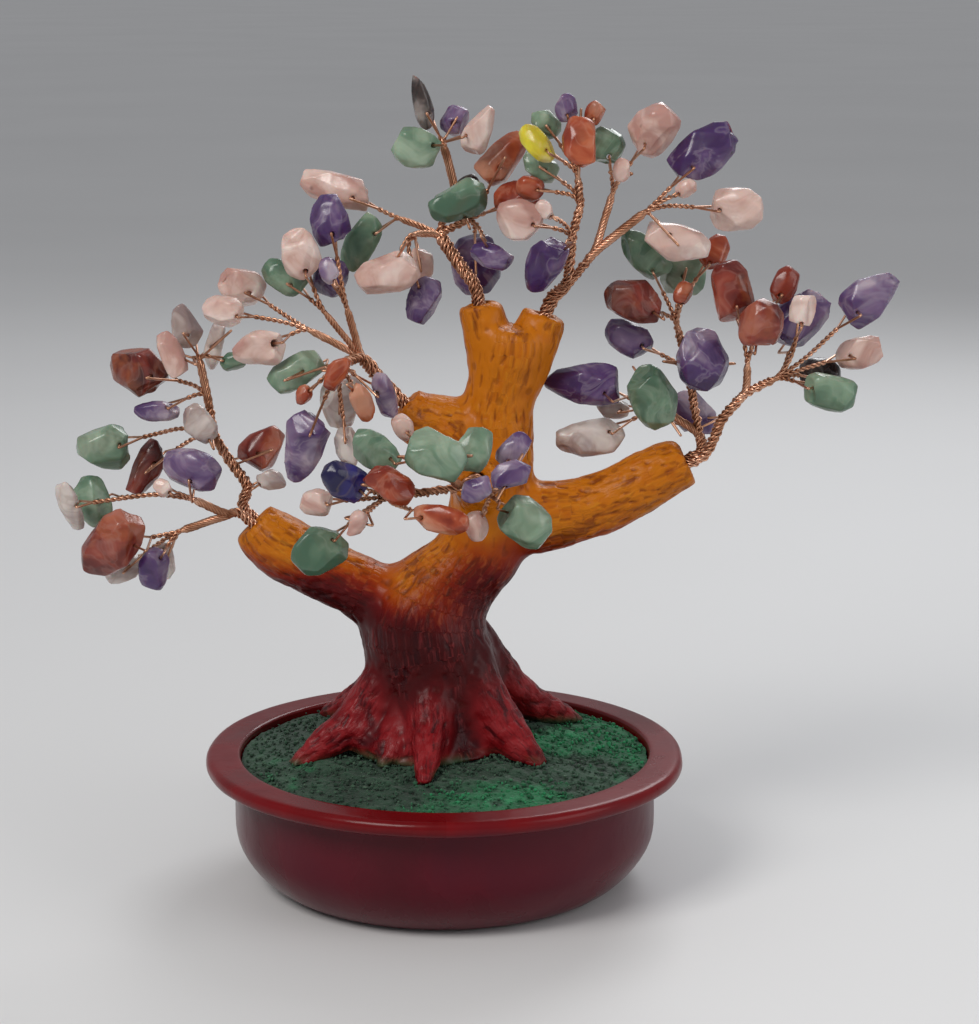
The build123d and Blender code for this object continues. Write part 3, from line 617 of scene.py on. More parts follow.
def lattice(cells, seed):
    """A repeatable random number from 0 to 1 for each cell of a grid."""
    mixed = cells.astype(np.int64) @ np.array(cell_factors) + seed * seed_factor
    mixed = (mixed ^ (mixed >> 13)) * spread_factor
    return ((mixed ^ (mixed >> 16)) & cell_mask) / cell_mask


def noise(points, size, seed):
    """Smooth random values from -1 to 1, with bumps about size across."""
    scaled = points / size
    base = np.floor(scaled)
    part = scaled - base
    part = part * part * (3 - 2 * part)
    total = np.zeros(len(points))
    for corner in product((0, 1), repeat=3):
        weight = np.prod(np.where(corner, part, 1 - part), axis=1)
        total += weight * lattice(base + corner, seed)
    return 2 * total - 1


def ease(values, low, high):
    """Goes smoothly from 0 at low to 1 at high."""
    share = np.clip((values - low) / (high - low), 0, 1)
    return share * share * (3 - 2 * share)


def relief(points, layers, seed):
    """Layers of noise on top of one another, each with its size and height."""
    noises = [noise(points, size, seed + number) for number, (size, _) in enumerate(layers)]
    return sum(each * height for each, (_, height) in zip(noises, layers))


def smoothed(points, edges, rounds, share=0.5):
    """Evens out points by their neighbours, each by its share."""
    first, second = edges.T
    count = np.bincount(edges.ravel(), minlength=len(points))
    for _ in range(rounds):
        total = np.empty_like(points)
        for axis in range(3):
            total[:, axis] = np.bincount(first, points[second, axis], len(points))
            total[:, axis] += np.bincount(second, points[first, axis], len(points))
        points = points + (total / count[:, None] - points) * share
    return points


def shown(name, data):
    """A new object in the scene."""
    made = bpy.data.objects.new(name, data)
    bpy.context.scene.collection.objects.link(made)
    return made


def remeshed(node, voxel, rounds):
    """A CAD node's surface in small even faces: points in millimetres, edges and faces."""
    copy = shown("copy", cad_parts[node].data.copy())
    modifier = copy.modifiers.new("even", "REMESH")
    modifier.mode = "VOXEL"
    modifier.voxel_size = voxel * millimetre
    bpy.context.view_layer.update()
    evaluated = copy.evaluated_get(bpy.context.evaluated_depsgraph_get())
    mesh = bpy.data.meshes.new_from_object(evaluated)
    points = np.empty(len(mesh.vertices) * 3)
    mesh.vertices.foreach_get("co", points)
    edges = np.empty(len(mesh.edges) * 2, dtype=np.int32)
    mesh.edges.foreach_get("vertices", edges)
    faces = [tuple(face.vertices) for face in mesh.polygons]
    bpy.data.objects.remove(copy)
    bpy.data.meshes.remove(mesh)
    edges = edges.reshape(-1, 2)
    return smoothed(points.reshape(-1, 3) / millimetre, edges, rounds), edges, faces


def new_mesh(name, points, faces):
    """A smooth-shaded mesh from points in millimetres."""
    mesh = bpy.data.meshes.new(name)
    mesh.from_pydata((points * millimetre).tolist(), [], faces)
    mesh.shade_smooth()
    return mesh


def normals_of(points, faces):
    """Each point's outward way."""
    mesh = new_mesh("normals", points, faces)
    ways = np.empty(len(points) * 3)
    mesh.vertex_normals.foreach_get("vector", ways)
    bpy.data.meshes.remove(mesh)
    return ways.reshape(-1, 3)


def piece(name, points, faces, slot, **attributes):
    """An object with the material of its record slot and its own values at each point."""
    mesh = new_mesh(name, points, faces)
    for title, values in attributes.items():
        form, field = ("FLOAT", "value") if values.ndim == 1 else ("FLOAT_VECTOR", "vector")
        layer = mesh.attributes.new(title, form, "POINT")
        layer.data.foreach_set(field, values.ravel())
    mesh.materials.append(materials[slot])
    made = shown(name, mesh)
    return made


def ring_faces(start, rings, sides):
    """The faces between rings of points that follow one another."""
    low = start + np.arange(rings - 1)[:, None] * sides
    one = np.arange(sides)
    other = (one + 1) % sides
    quads = np.stack((low + one, low + other, low + other + sides, low + one + sides), 2)
    return quads.reshape(-1, 4).tolist()


class Nodes:
    """Builds one node material. Inputs take plain values or the outputs of other nodes."""

    def __init__(self, name, **values):
        self.material = bpy.data.materials.new(name)
        self.material.use_nodes = True
        self.tree = self.material.node_tree
        self.shader = self.tree.nodes["Principled BSDF"]
        self.set(**values)

    def feed(self, spot, value):
        """Links an input to another node's output, or sets its plain value."""
        if isinstance(value, bpy.types.NodeSocket):
            self.tree.links.new(value, spot)
        else:
            spot.default_value = (*value, 1) if spot.type == "RGBA" else value

    def set(self, **values):
        """Feeds the shader's own sockets."""
        for title, value in values.items():
            self.feed(self.shader.inputs[title.replace("_", " ")], value)

    def add(self, kind, output, inputs, **settings):
        """One output of a new node with these inputs and settings."""
        node = self.tree.nodes.new("ShaderNode" + kind)
        for title, value in settings.items():
            setattr(node, title, value)
        for title, value in inputs.items():
            self.feed(node.inputs[title], value)
        return node.outputs[output]

    def attribute(self, title, output="Fac"):
        return self.add("Attribute", output, {}, attribute_name=title)

    def place(self):
        return self.add("TexCoord", "Object", {})

    def noise(self, place, scale, detail=3, distortion=0):
        inputs = {"Vector": place, "Scale": scale, "Detail": detail, "Distortion": distortion}
        return self.add("TexNoise", "Fac", inputs)

    def stretched(self, place, shares):
        """The same places, drawn out along the ways whose share is small."""
        return self.add("VectorMath", 0, {0: place, 1: shares}, operation="MULTIPLY")

    def cells(self, place, scale):
        return self.add("TexVoronoi", "Distance", {"Vector": place, "Scale": scale})

    def ramp(self, source, *stops):
        """Colours, or grey values, at places along the source."""
        node = self.tree.nodes.new("ShaderNodeValToRGB")
        band = node.color_ramp
        while len(band.elements) < len(stops):
            band.elements.new(1)
        for element, (spot, colour) in zip(band.elements, stops):
            element.position = spot
            element.color = (*(colour if isinstance(colour, tuple) else [colour] * 3), 1)
        self.feed(node.inputs["Fac"], source)
        return node.outputs["Color"]

    def mix(self, share, one, other):
        return self.add("Mix", 2, {0: share, 6: one, 7: other}, data_type="RGBA")

    def maths(self, way, one, other):
        return self.add("Math", 0, {0: one, 1: other}, operation=way)

    def bump(self, source, height):
        """Fine relief on the surface, height in millimetres."""
        self.set(Normal=self.add("Bump", "Normal", {"Distance": height * millimetre, "Height": source}))


# Materials, one for each of the record's slots
def glazed_material():
    """Thick burgundy glaze, with the rim painted a brighter red than the side: painted light from above.
    """
    made = Nodes("glaze", Roughness=0.3, Coat_Weight=0.1, Coat_Roughness=0.08, Specular_IOR_Level=0.15)
    place = made.place()
    cloud = made.noise(place, 30, 5, 0.9)
    side = made.ramp(
        cloud, (0.3, (0.06, 0.002, 0.007)), (0.5, (0.082, 0.003, 0.01)), (0.72, (0.07, 0.004, 0.012))
    )
    # The rim's brighter red is painted light on the upward-facing lip.
    rim = made.ramp(
        cloud, (0.32, (0.1, 0.0008, 0.002)), (0.52, (0.15, 0.0015, 0.0035)), (0.72, (0.115, 0.002, 0.005))
    )
    colour = made.mix(made.attribute("rim"), side, rim)
    dust = made.ramp(made.cells(place, 420), (0, 1), (0.06, 0))
    sparse = made.ramp(made.noise(place, 60), (0.56, 0), (0.7, 0.3))
    specks = made.maths("MULTIPLY", dust, sparse)
    made.set(
        Base_Color=made.mix(specks, colour, (0.34, 0.15, 0.15)),
        Roughness=made.ramp(cloud, (0.35, 0.22), (0.65, 0.36)),
    )
    made.bump(made.noise(place, 110, 3, 0.4), 0.2)
    return made.material


def wood_material():
    """Hand-painted resin: amber above, crimson below, under varnish, with painted shade in the carved cuts
    and painted highlights on the ridges.
    """
    made = Nodes(
        "painted_bark", Roughness=0.4, Coat_Weight=0.05, Coat_Roughness=0.15, Specular_IOR_Level=0.14
    )
    place = made.place()
    fibre = made.attribute("fibre", "Vector")
    streaks = made.noise(made.stretched(fibre, (0.3, 1, 1)), 400, 3, 0.6)
    fine = made.noise(made.stretched(fibre, (0.45, 1, 1)), 1100, 3, 0.4)
    # The grain changes its way where limbs meet, so it fades out there
    streaks, fine = (made.mix(made.attribute("seam"), each, (0.5, 0.5, 0.5)) for each in (streaks, fine))
    tone = made.attribute("tone")
    wash = made.noise(place, 130, 4, 0.9)
    both = made.maths("ADD", made.maths("MULTIPLY", wash, 0.42), made.maths("MULTIPLY", fine, 0.22))
    mottled = made.maths("ADD", tone, made.maths("SUBTRACT", both, 0.32))
    colour = made.ramp(
        mottled,
        (0, (0.05, 0.0006, 0.0015)),
        (0.2, (0.1, 0.002, 0.002)),
        (0.4, (0.2, 0.013, 0.0015)),
        (0.62, (0.3, 0.042, 0.001)),
        (0.85, (0.38, 0.08, 0.0015)),
        (1, (0.48, 0.14, 0.004)),
    )
    crimson = made.ramp(
        wash, (0.34, (0.12, 0.0015, 0.004)), (0.5, (0.21, 0.006, 0.009)), (0.68, (0.28, 0.022, 0.026))
    )
    colour = made.mix(made.attribute("root"), colour, crimson)
    # Dark colour in the carved cuts, the cut strokes and the hollows between the roots is painted shade.
    deep = made.mix(tone, (0.022, 0.001, 0.003), (0.15, 0.026, 0.003))
    cuts = made.ramp(streaks, (0.33, 0.8), (0.46, 0))
    carved = made.ramp(made.attribute("cut"), (0.3, 0), (0.95, 0.75))
    colour = made.mix(made.maths("MAXIMUM", cuts, carved), colour, deep)
    # Raised bumps turn pink on crimson and pale orange on amber: painted highlights.
    pale = made.mix(tone, (0.36, 0.05, 0.055), (0.62, 0.27, 0.02))
    ridge_highlight = made.maths("MULTIPLY", made.attribute("ridge"), made.ramp(fine, (0.52, 0), (0.68, 0.4)))
    colour = made.mix(ridge_highlight, colour, pale)
    pits = made.ramp(made.attribute("pit"), (0.3, 0), (0.8, 0.3))
    colour = made.mix(pits, colour, (0.05, 0.006, 0.003))
    green = made.ramp(fine, (0.3, (0.008, 0.03, 0.014)), (0.7, (0.02, 0.1, 0.045)))
    made.set(Base_Color=made.mix(made.attribute("mossy"), colour, green))
    made.bump(made.maths("ADD", streaks, made.maths("MULTIPLY", fine, 0.5)), 0.7)
    return made.material


def moss_material():
    """Flock of several greens, from nearly black in the hollows, which is painted shade, to patches of
    emerald.
    """
    made = Nodes("flock", Roughness=0.95, Sheen_Weight=0.08, Sheen_Roughness=0.5)
    place = made.place()
    cloud = made.maths("MULTIPLY", made.noise(place, 80, 4, 0.5), 0.4)
    tint = made.maths("ADD", made.attribute("tint"), cloud)
    dull = made.ramp(
        tint,
        (0.1, (0.009, 0.018, 0.01)),
        (0.45, (0.014, 0.04, 0.022)),
        (0.8, (0.024, 0.068, 0.037)),
        (1, (0.05, 0.1, 0.06)),
    )
    bright = made.ramp(
        tint, (0.2, (0.004, 0.03, 0.012)), (0.55, (0.005, 0.1, 0.035)), (1, (0.02, 0.24, 0.09))
    )
    made.set(Base_Color=made.mix(made.attribute("emerald"), dull, bright))
    made.bump(made.noise(place, 1400, 2), 0.4)
    return made.material


def copper_material():
    """Drawn copper gone brown in places."""
    made = Nodes("copper", Metallic=1)
    dull = made.noise(made.place(), 200)
    made.set(
        Base_Color=made.ramp(
            dull, (0.3, (0.3, 0.13, 0.07)), (0.5, (0.55, 0.29, 0.18)), (0.7, (0.72, 0.42, 0.29))
        ),
        Roughness=made.ramp(dull, (0.3, 0.5), (0.65, 0.3)),
    )
    return made.material


def filling_material():
    """Pale plaster, hidden under the moss."""
    made = Nodes("plaster", Roughness=0.9)
    made.set(Base_Color=made.ramp(made.noise(made.place(), 80), (0.3, 0.42), (0.7, 0.6)))
    return made.material


def stone_material(name, colours, patch, patched, vein, veined, clear=0, glow=0.2, dots=0):
    """Tumbled stone: soft clouds of its colours, patches, faint veins and dark inclusions."""
    made = Nodes(
        name,
        Roughness=0.26,
        Specular_IOR_Level=0.4,
        Transmission_Weight=clear,
        Subsurface_Weight=glow,
        Subsurface_Scale=0.0016,
        Coat_Weight=0.1,
        Coat_Roughness=0.1,
    )
    grain = made.attribute("grain", "Vector")
    share = made.maths("ADD", made.noise(grain, 110, 3, 1), made.attribute("tone"))
    count = len(colours) - 1
    stops = [(0.3 + 0.42 * number / count, colour) for number, colour in enumerate(colours)]
    colour = made.ramp(share, *stops)
    patches = made.ramp(made.noise(grain, 130, 3, 1), (0.48, 0), (0.66, patched))
    colour = made.mix(patches, colour, patch)
    thin = made.ramp(made.noise(grain, 110, 3, 1.2), (0.46, 0), (0.5, 0.6 * veined), (0.55, 0))
    colour = made.mix(thin, colour, vein)
    spots = made.ramp(made.cells(grain, 190), (0.05, dots), (0.13, 0))
    sparse = made.ramp(made.noise(grain, 90), (0.52, 0), (0.56, 1))
    colour = made.mix(made.maths("MULTIPLY", spots, sparse), colour, (0.012, 0.006, 0.012))
    made.set(Base_Color=colour)
    made.bump(made.noise(grain, 300), 0.12)
    return made.material


# Each kind's colours from dark to pale, then its patches and its veins with their strengths.
# Where it isn't the usual: how clear the stone is, how its inside glows, how dark its dots are.
stone_looks = {
    "amethyst": (
        ((0.05, 0.02, 0.085), (0.105, 0.055, 0.15), (0.2, 0.13, 0.23), (0.42, 0.34, 0.4)),
        (0.06, 0.02, 0.12), 0.7, (0.46, 0.4, 0.44), 0.35, 0.08, 0.2, 0.8,
    ),
    "aventurine": (
        ((0.06, 0.12, 0.075), (0.12, 0.2, 0.13), (0.19, 0.28, 0.19), (0.3, 0.38, 0.28)),
        (0.08, 0.1, 0.06), 0.5, (0.34, 0.38, 0.3), 0.3,
    ),
    "rose_quartz": (
        ((0.46, 0.25, 0.21), (0.62, 0.42, 0.36), (0.71, 0.53, 0.47), (0.79, 0.66, 0.6)),
        (0.5, 0.27, 0.23), 0.3, (0.4, 0.2, 0.16), 0.25, 0.05, 0.2, 0.4,
    ),
    "white_quartz": (
        ((0.3, 0.22, 0.21), (0.47, 0.38, 0.35), (0.62, 0.54, 0.5), (0.75, 0.68, 0.63)),
        (0.34, 0.27, 0.28), 0.45, (0.24, 0.15, 0.11), 0.4, 0.08, 0.2, 0.8,
    ),
    "clear_quartz": (
        ((0.02, 0.012, 0.012), (0.07, 0.05, 0.045), (0.22, 0.18, 0.17), (0.46, 0.42, 0.39)),
        (0.008, 0.004, 0.005), 0.95, (0.5, 0.45, 0.4), 0.3, 0.15, 0.2, 1,
    ),
    "red_jasper": (
        ((0.05, 0.007, 0.006), (0.13, 0.018, 0.013), (0.24, 0.04, 0.024), (0.38, 0.13, 0.09)),
        (0.34, 0.09, 0.03), 0.5, (0.34, 0.2, 0.17), 0.35, 0, 0.1, 0.6,
    ),
    "carnelian": (
        ((0.2, 0.022, 0.008), (0.34, 0.055, 0.018), (0.45, 0.12, 0.05), (0.58, 0.27, 0.17)),
        (0.14, 0.014, 0.008), 0.45, (0.6, 0.34, 0.24), 0.3, 0.04,
    ),
    "citrine": (
        ((0.55, 0.42, 0.02), (0.72, 0.63, 0.04), (0.8, 0.76, 0.16)),
        (0.86, 0.8, 0.5), 0.5, (0.45, 0.3, 0.02), 0.3, 0.15,
    ),
    "lapis": (
        ((0.01, 0.008, 0.05), (0.022, 0.016, 0.16), (0.06, 0.05, 0.26)),
        (0.12, 0.09, 0.2), 0.35, (0.3, 0.22, 0.12), 0.3, 0, 0.05,
    ),
}
materials = {
    "pot": glazed_material(),
    "trunk": wood_material(),
    "moss": moss_material(),
    "copper": copper_material(),
    "ground_fill": filling_material(),
}
for kind, looks in stone_looks.items():
    materials[kind] = stone_material(kind, *looks)


# Pot: turned profile, with the slight unevenness of a hand-cast one
def arc(centre, radius, start, end, steps=7):
    """Points of a quarter or smaller arc in the pot's section, angles in degrees."""
    angles = np.radians(np.linspace(start, end, steps))
    return [(centre[0] + radius * np.cos(a), centre[1] + radius * np.sin(a)) for a in angles]


def line(start, end, steps):
    """Evenly spaced points from start to end, both left out."""
    shares = np.linspace(0, 1, steps + 2)[1:-1]
    return [tuple(np.array(start) * (1 - share) + np.array(end) * share) for share in shares]


def pot_profile():
    """The pot's section, from the foot's middle round the rim to the floor's middle."""
    lip_base = pot_height - lip_thickness
    lip_side, neck_side = pot_radius - lip_round, body_radius + neck_round
    mouth_side, floor_side = mouth_radius + mouth_round, cavity_radius - floor_round
    neck_foot, floor_top = lip_base - neck_round, pot_floor + floor_round
    meet = np.degrees(np.arcsin(foot_rise / foot_round))
    points = line((0, 0), (foot_radius, 0), 12)
    points += arc((body_radius - foot_round, foot_rise), foot_round, -meet, 0, 14)
    points += line((body_radius, foot_rise), (body_radius, neck_foot), 8)
    points += arc((neck_side, neck_foot), neck_round, 180, 90)
    points += line((neck_side, lip_base), (lip_side, lip_base), 3)
    points += arc((lip_side, lip_base + lip_round), lip_round, -90, 0)
    points += arc((lip_side, pot_height - lip_round), lip_round, 0, 90)
    points += line((lip_side, pot_height), (mouth_side, pot_height), 6)
    points += arc((mouth_side, pot_height - mouth_round), mouth_round, 90, 180)
    points += line((mouth_radius, pot_height - mouth_round), (mouth_radius, moss_base), 4)
    points += line((cavity_radius, moss_base), (cavity_radius, floor_top), 4)
    points += arc((floor_side, floor_top), floor_round, 0, -90)
    points += line((floor_side, pot_floor), (0, pot_floor), 8)
    return points


def make_pot():
    profile = pot_profile()
    turns = np.radians(np.arange(0, 360, 360 / pot_steps))
    circle = np.column_stack((np.cos(turns), np.sin(turns)))
    rings = [np.column_stack((radius * circle, np.full(pot_steps, up))) for radius, up in profile]
    points = np.vstack((*rings, (0, 0, 0), (0, 0, pot_floor)))
    faces = ring_faces(0, len(profile), pot_steps)
    low_end, high_end = len(points) - 2, len(points) - 1
    last = low_end - pot_steps
    for step in range(pot_steps):
        after = (step + 1) % pot_steps
        faces += [(after, step, low_end), (last + step, last + after, high_end)]
    outward = points * (1, 1, 0)
    outward = outward / np.maximum(lengths(outward), 1)[:, None]
    uneven = ease(points[:, 2], 0.5, 8) * ease(lengths(points[:, :2]), mouth_radius, body_radius)
    points = points + outward * (uneven * relief(points, pot_relief, pot_seed))[:, None]
    foot = ease(lengths(points[:, :2]), foot_radius, body_radius) * (1 - ease(points[:, 2], 1, 12))
    points = points - outward * (foot * (0.5 + 0.5 * noise(points, 15, pot_seed + 2)))[:, None]
    # The rim value marks the lip, which the glaze paints a brighter red: painted light from above.
    level = points[:, 2] + noise(points, 6, pot_seed + 3) * 0.5
    rim = ease(level, pot_height - lip_thickness - 1, pot_height - 1)
    made = piece("glazed_pot", points, faces, "pot", rim=rim)
    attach(made, "root")
    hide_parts("pot")


# Trunk: the CAD's limbs and roots with carved bark over them
def curved(sections):
    """A limb's sections with more between them, on a smooth line through their centres."""
    rows = np.array([(*centre, radius) for centre, radius in sections])
    rows = np.vstack((2 * rows[0] - rows[1], rows, 2 * rows[-1] - rows[-2]))
    made = []
    for before, start, end, after in zip(rows, rows[1:], rows[2:], rows[3:]):
        for share in np.arange(limb_steps) / limb_steps:
            bend = (2 * before - 5 * start + 4 * end - after) * share**2
            twist = (3 * start - 3 * end + after - before) * share**3
            made.append(start + ((end - before) * share + bend + twist) / 2)
    made.append(rows[-2])
    return [(row[:3], row[3]) for row in made]


def along(points, sections):
    """Each point's height over a limb's surface, its place along it and its spoke from it."""
    above = np.full(len(points), np.inf)
    place = np.zeros(len(points))
    spokes = np.zeros((len(points), 2))
    passed = 0
    for (start, thick), (end, thin) in zip(sections, sections[1:]):
        run = end - start
        length = np.linalg.norm(run)
        share = np.clip((points - start) @ run / length**2, 0, 1)
        spoke = points - start - share[:, None] * run
        over = lengths(spoke) - thick - share * (thin - thick)
        level = (0, 1, 0) if abs(run[1]) < length / 2 else (0, 0, 1)
        side = unit(np.cross(run, level))
        front = unit(np.cross(side, run))
        near = over < above
        place[near] = passed + share[near] * length
        spokes[near] = np.stack((spoke @ side, spoke @ front), 1)[near]
        above = np.minimum(above, over)
        passed += length
    return above, place, spokes


def strokes(points, place, spokes, rows, length, slant, seed):
    """Short staggered cuts round a limb, 1 in the middle of a cut and 0 between them."""
    wander = noise(points, 4, seed) * 0.4
    angle = np.arctan2(spokes[:, 1], spokes[:, 0])
    across = angle / (2 * np.pi) * rows - place * slant + wander
    row = np.floor(across)
    zeros = np.zeros_like(row)
    column = np.stack((row % rows, zeros, zeros), 1)
    down = place / length + lattice(column, seed) + wander / 2
    cell = column + np.stack((zeros, np.floor(down), zeros), 1)
    aside = across - row - 0.5 - 0.4 * (lattice(cell, seed + 1) - 0.5)
    part = down - np.floor(down)
    strength = 0.25 + 0.75 * lattice(cell, seed + 2)
    return strength * np.exp(-((aside / 0.17) ** 2)) * np.sin(np.pi * part) ** 0.7


def pits(points, spacing, seed):
    """Small scattered dots: 1 at a dot's middle and 0 away from it."""
    scaled = points / spacing
    base = np.floor(scaled)
    nearest = np.full(len(points), 9.0)
    for step in product((-1, 0, 1), repeat=3):
        cell = base + step
        spot = cell + np.stack([lattice(cell, seed + axis) for axis in range(3)], 1)
        nearest = np.minimum(nearest, lengths(scaled - spot) / (0.6 + lattice(cell, seed + 3)))
    return 1 - ease(nearest, 0.08, 0.24)


def dome_drop_at(points):
    """How far the moss's dome lies under its crown at each point, or at its edge beyond it."""
    return dome_drop(np.minimum(lengths(points[:, :2]), moss_radius))


def make_trunk():
    points, edges, faces = remeshed("trunk", bark_voxel, 2)
    parts = [(trunk_stations, *trunk_cuts)]
    parts += [(limbs[name], *cuts) for name, cuts in limb_cuts.items()]
    first_root = len(parts)
    parts += [(root_stations(*shares), *root_cuts) for shares in root_tip_shares]
    # The wires' bores and the seat in the ground keep their shape
    keep = ease(points[:, 2] - moss_top + dome_drop_at(points), 0.2, 2)
    for branch in branches.values():
        offset = points - branch.mouth
        depth = offset @ branch.out
        bore_radius = bundle_radius(len(branch.stones)) * ball_share + swing_gap
        clear = lengths(offset - np.outer(depth, branch.out)) - bore_radius
        deep = (depth < 4) & (depth > -bore_depth - 1)
        keep = np.where(deep, np.minimum(keep, ease(clear, 0.1, 1.2)), keep)
    # The limbs and roots run into one another without a seam
    closest = np.sort([along(points, sections)[0] for sections, *_ in parts], axis=0)
    joined = 0.15 + 0.85 * (1 - ease(closest[1] - closest[0], 0.5, 3))
    points = smoothed(points, edges, joint_rounds, (0.5 * joined * keep)[:, None])
    ways = normals_of(points, faces)
    found = [along(points, curved(sections)) for sections, *_ in parts]
    above = np.array([each[0] for each in found])
    closest = np.sort(above, axis=0)
    nearest = above.argmin(axis=0)
    weights = np.exp(-(above - above.min(axis=0)) / 0.9)
    weights /= weights.sum(axis=0)
    carved = np.zeros(len(points))
    fibre = np.zeros_like(points)
    for number, ((_, *cuts), (_, place, spokes)) in enumerate(zip(parts, found)):
        carved += weights[number] * strokes(points, place, spokes, *cuts, wood_seed + number)
        mine = nearest == number
        fibre[mine] = np.column_stack((place + grain_spread * number, spokes))[mine]
    rooty = weights[first_root:].sum(axis=0)
    height = points[:, 2]
    over_moss = height - moss_top + dome_drop_at(points)
    hollow = ease(above[first_root:].min(axis=0), 0.3, 3.2)
    hollow = hollow * ease(height, moss_top - 1, moss_top + 4) * (1 - ease(height, *root_hollow_ends))
    lumps, beaten, fine = (
        noise(points, size, wood_seed + 20 + number) for number, size in enumerate(bark_sizes)
    )
    lump_height, beaten_height, fine_height = bark_heights
    lift = lump_height * lumps + (beaten_height + root_beaten * rooty) * beaten + fine_height * fine
    lift = lift - cut_depth * carved - root_hollow * hollow
    points = points + ways * (lift * keep)[:, None]
    spots = pits(points, pit_spacing, wood_seed + 30)
    points = points - ways * (pit_depth * spots * keep)[:, None]
    # Upward faces lean towards amber and undersides towards crimson: painted light on top, painted shade
    # underneath.
    level = height + 6 * ways[:, 2] + 4 * noise(points, 9, wood_seed + 40) + 2 * lumps
    redder = ease(points[:, 0], -4, 9) * (1 - ease(height, *amber_all_round))
    near_moss = (1 - ease(over_moss, 0.4, 3)) * ease(noise(points, 5, wood_seed + 50), -0.25, 0.35)
    made = piece(
        "carved_trunk",
        points,
        faces,
        "trunk",
        fibre=fibre * millimetre,
        tone=np.clip(ease(level, *crimson_to_amber) * (1 - 0.5 * redder), 0, 1),
        root=rooty * (1 - ease(height + 3 * lumps, *root_paint_ends)),
        # cut darkens the carved cuts and the hollows between the roots: painted shade.
        cut=np.clip(1.3 * carved * keep + 0.75 * hollow, 0, 1),
        # ridge lightens the raised bumps: painted highlight.
        ridge=np.clip(0.45 + 0.5 * beaten + 0.35 * lumps, 0, 1) * keep,
        pit=spots * keep,
        mossy=0.85 * near_moss,
        seam=1 - ease(closest[1] - closest[0], 0.9, 2.2),
    )
    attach(made, "root")
    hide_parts("trunk")


# Moss: a rough bed with crumbs of flock on it
def hull_faces(points):
    """The faces round a set of points, as rows of point numbers."""
    mesh = bmesh.new()
    corners = [mesh.verts.new(point) for point in points]
    mesh.verts.index_update()
    bmesh.ops.convex_hull(mesh, input=corners)
    bmesh.ops.recalc_face_normals(mesh, faces=mesh.faces)
    faces = np.array([[corner.index for corner in face.verts] for face in mesh.faces])
    mesh.free()
    return faces


def make_moss():
    count = int(moss_radius / moss_step)
    lane = np.arange(-count, count + 1) * moss_step
    grid = np.stack([axis.ravel() for axis in np.meshgrid(lane, lane, indexing="ij")], 1)
    reached = lengths(grid)
    squeeze = np.minimum(1, moss_radius / np.maximum(reached, 1e-6))
    inside = reached < moss_radius + moss_step
    numbers = -np.ones(len(grid), dtype=int)
    numbers[inside] = np.arange(inside.sum())
    numbers = numbers.reshape(len(lane), len(lane))
    flat = (grid * squeeze[:, None])[inside]
    points = np.column_stack((flat, np.zeros(len(flat))))
    points[:, 2] = moss_top - dome_drop_at(points)
    rough = relief(points, moss_relief, moss_seed)
    inner = 1 - ease(lengths(points), moss_radius - 1.5, moss_radius)
    points[:, 2] += rough * (0.4 + 0.6 * inner)
    points[:, :2] += np.stack([noise(points, 1.5, moss_seed + 3 + axis) for axis in (0, 1)], 1) * 0.2
    corners = (numbers[:-1, :-1], numbers[1:, :-1], numbers[1:, 1:], numbers[:-1, 1:])
    faces = np.stack([corner.ravel() for corner in corners], 1)
    faces = faces[(faces >= 0).all(axis=1)]
    # Low spots of the bed get a darker tint and high spots a lighter one: painted shade in the hollows.
    tint = 0.34 + 0.36 * rough + 0.1 * noise(points, 12, moss_seed + 5)
    # Crumbs of flock
    draw = np.random.default_rng(moss_seed)
    golden = (1 + 5**0.5) / 2
    shape = np.array([(0, 1, golden), (0, -1, golden), (0, 1, -golden), (0, -1, -golden)])
    shape = np.vstack((shape, shape[:, (1, 2, 0)], shape[:, (2, 0, 1)])) / golden / 2
    spread = (moss_radius - 0.8) * np.sqrt(draw.uniform(0, 1, crumbs))
    turn = draw.uniform(0, 2 * np.pi, crumbs)
    spots = np.stack((spread * np.cos(turn), spread * np.sin(turn), np.zeros(crumbs)), 1)
    spots[:, 2] = moss_top - dome_drop_at(spots) + draw.uniform(-0.3, 0.7, crumbs)
    sizes = draw.uniform(0.35, 1, (crumbs, 1, 3)) * draw.uniform(0.5, 1.25, (crumbs, 1, 1))
    jitter = draw.uniform(0.7, 1.2, (crumbs, len(shape), 1))
    bits = (spots[:, None] + shape * sizes * jitter).reshape(-1, 3)
    bit_tint = np.repeat(draw.uniform(0.2, 0.8, crumbs), len(shape))
    everything = np.vstack((points, bits))
    patches = relief(everything, moss_patches, moss_seed + 6) + 0.5 * ease(everything[:, 0], 5, 35)
    offsets = len(points) + np.arange(crumbs)[:, None, None] * len(shape)
    bit_faces = (hull_faces(shape)[None] + offsets).reshape(-1, 3)
    made = piece(
        "moss_flock",
        everything,
        faces.tolist() + bit_faces.tolist(),
        "moss",
        tint=np.concatenate((tint, bit_tint)),
        emerald=ease(patches, 0.15, 0.75),
    )
    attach(made, "root")
    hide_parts("moss")


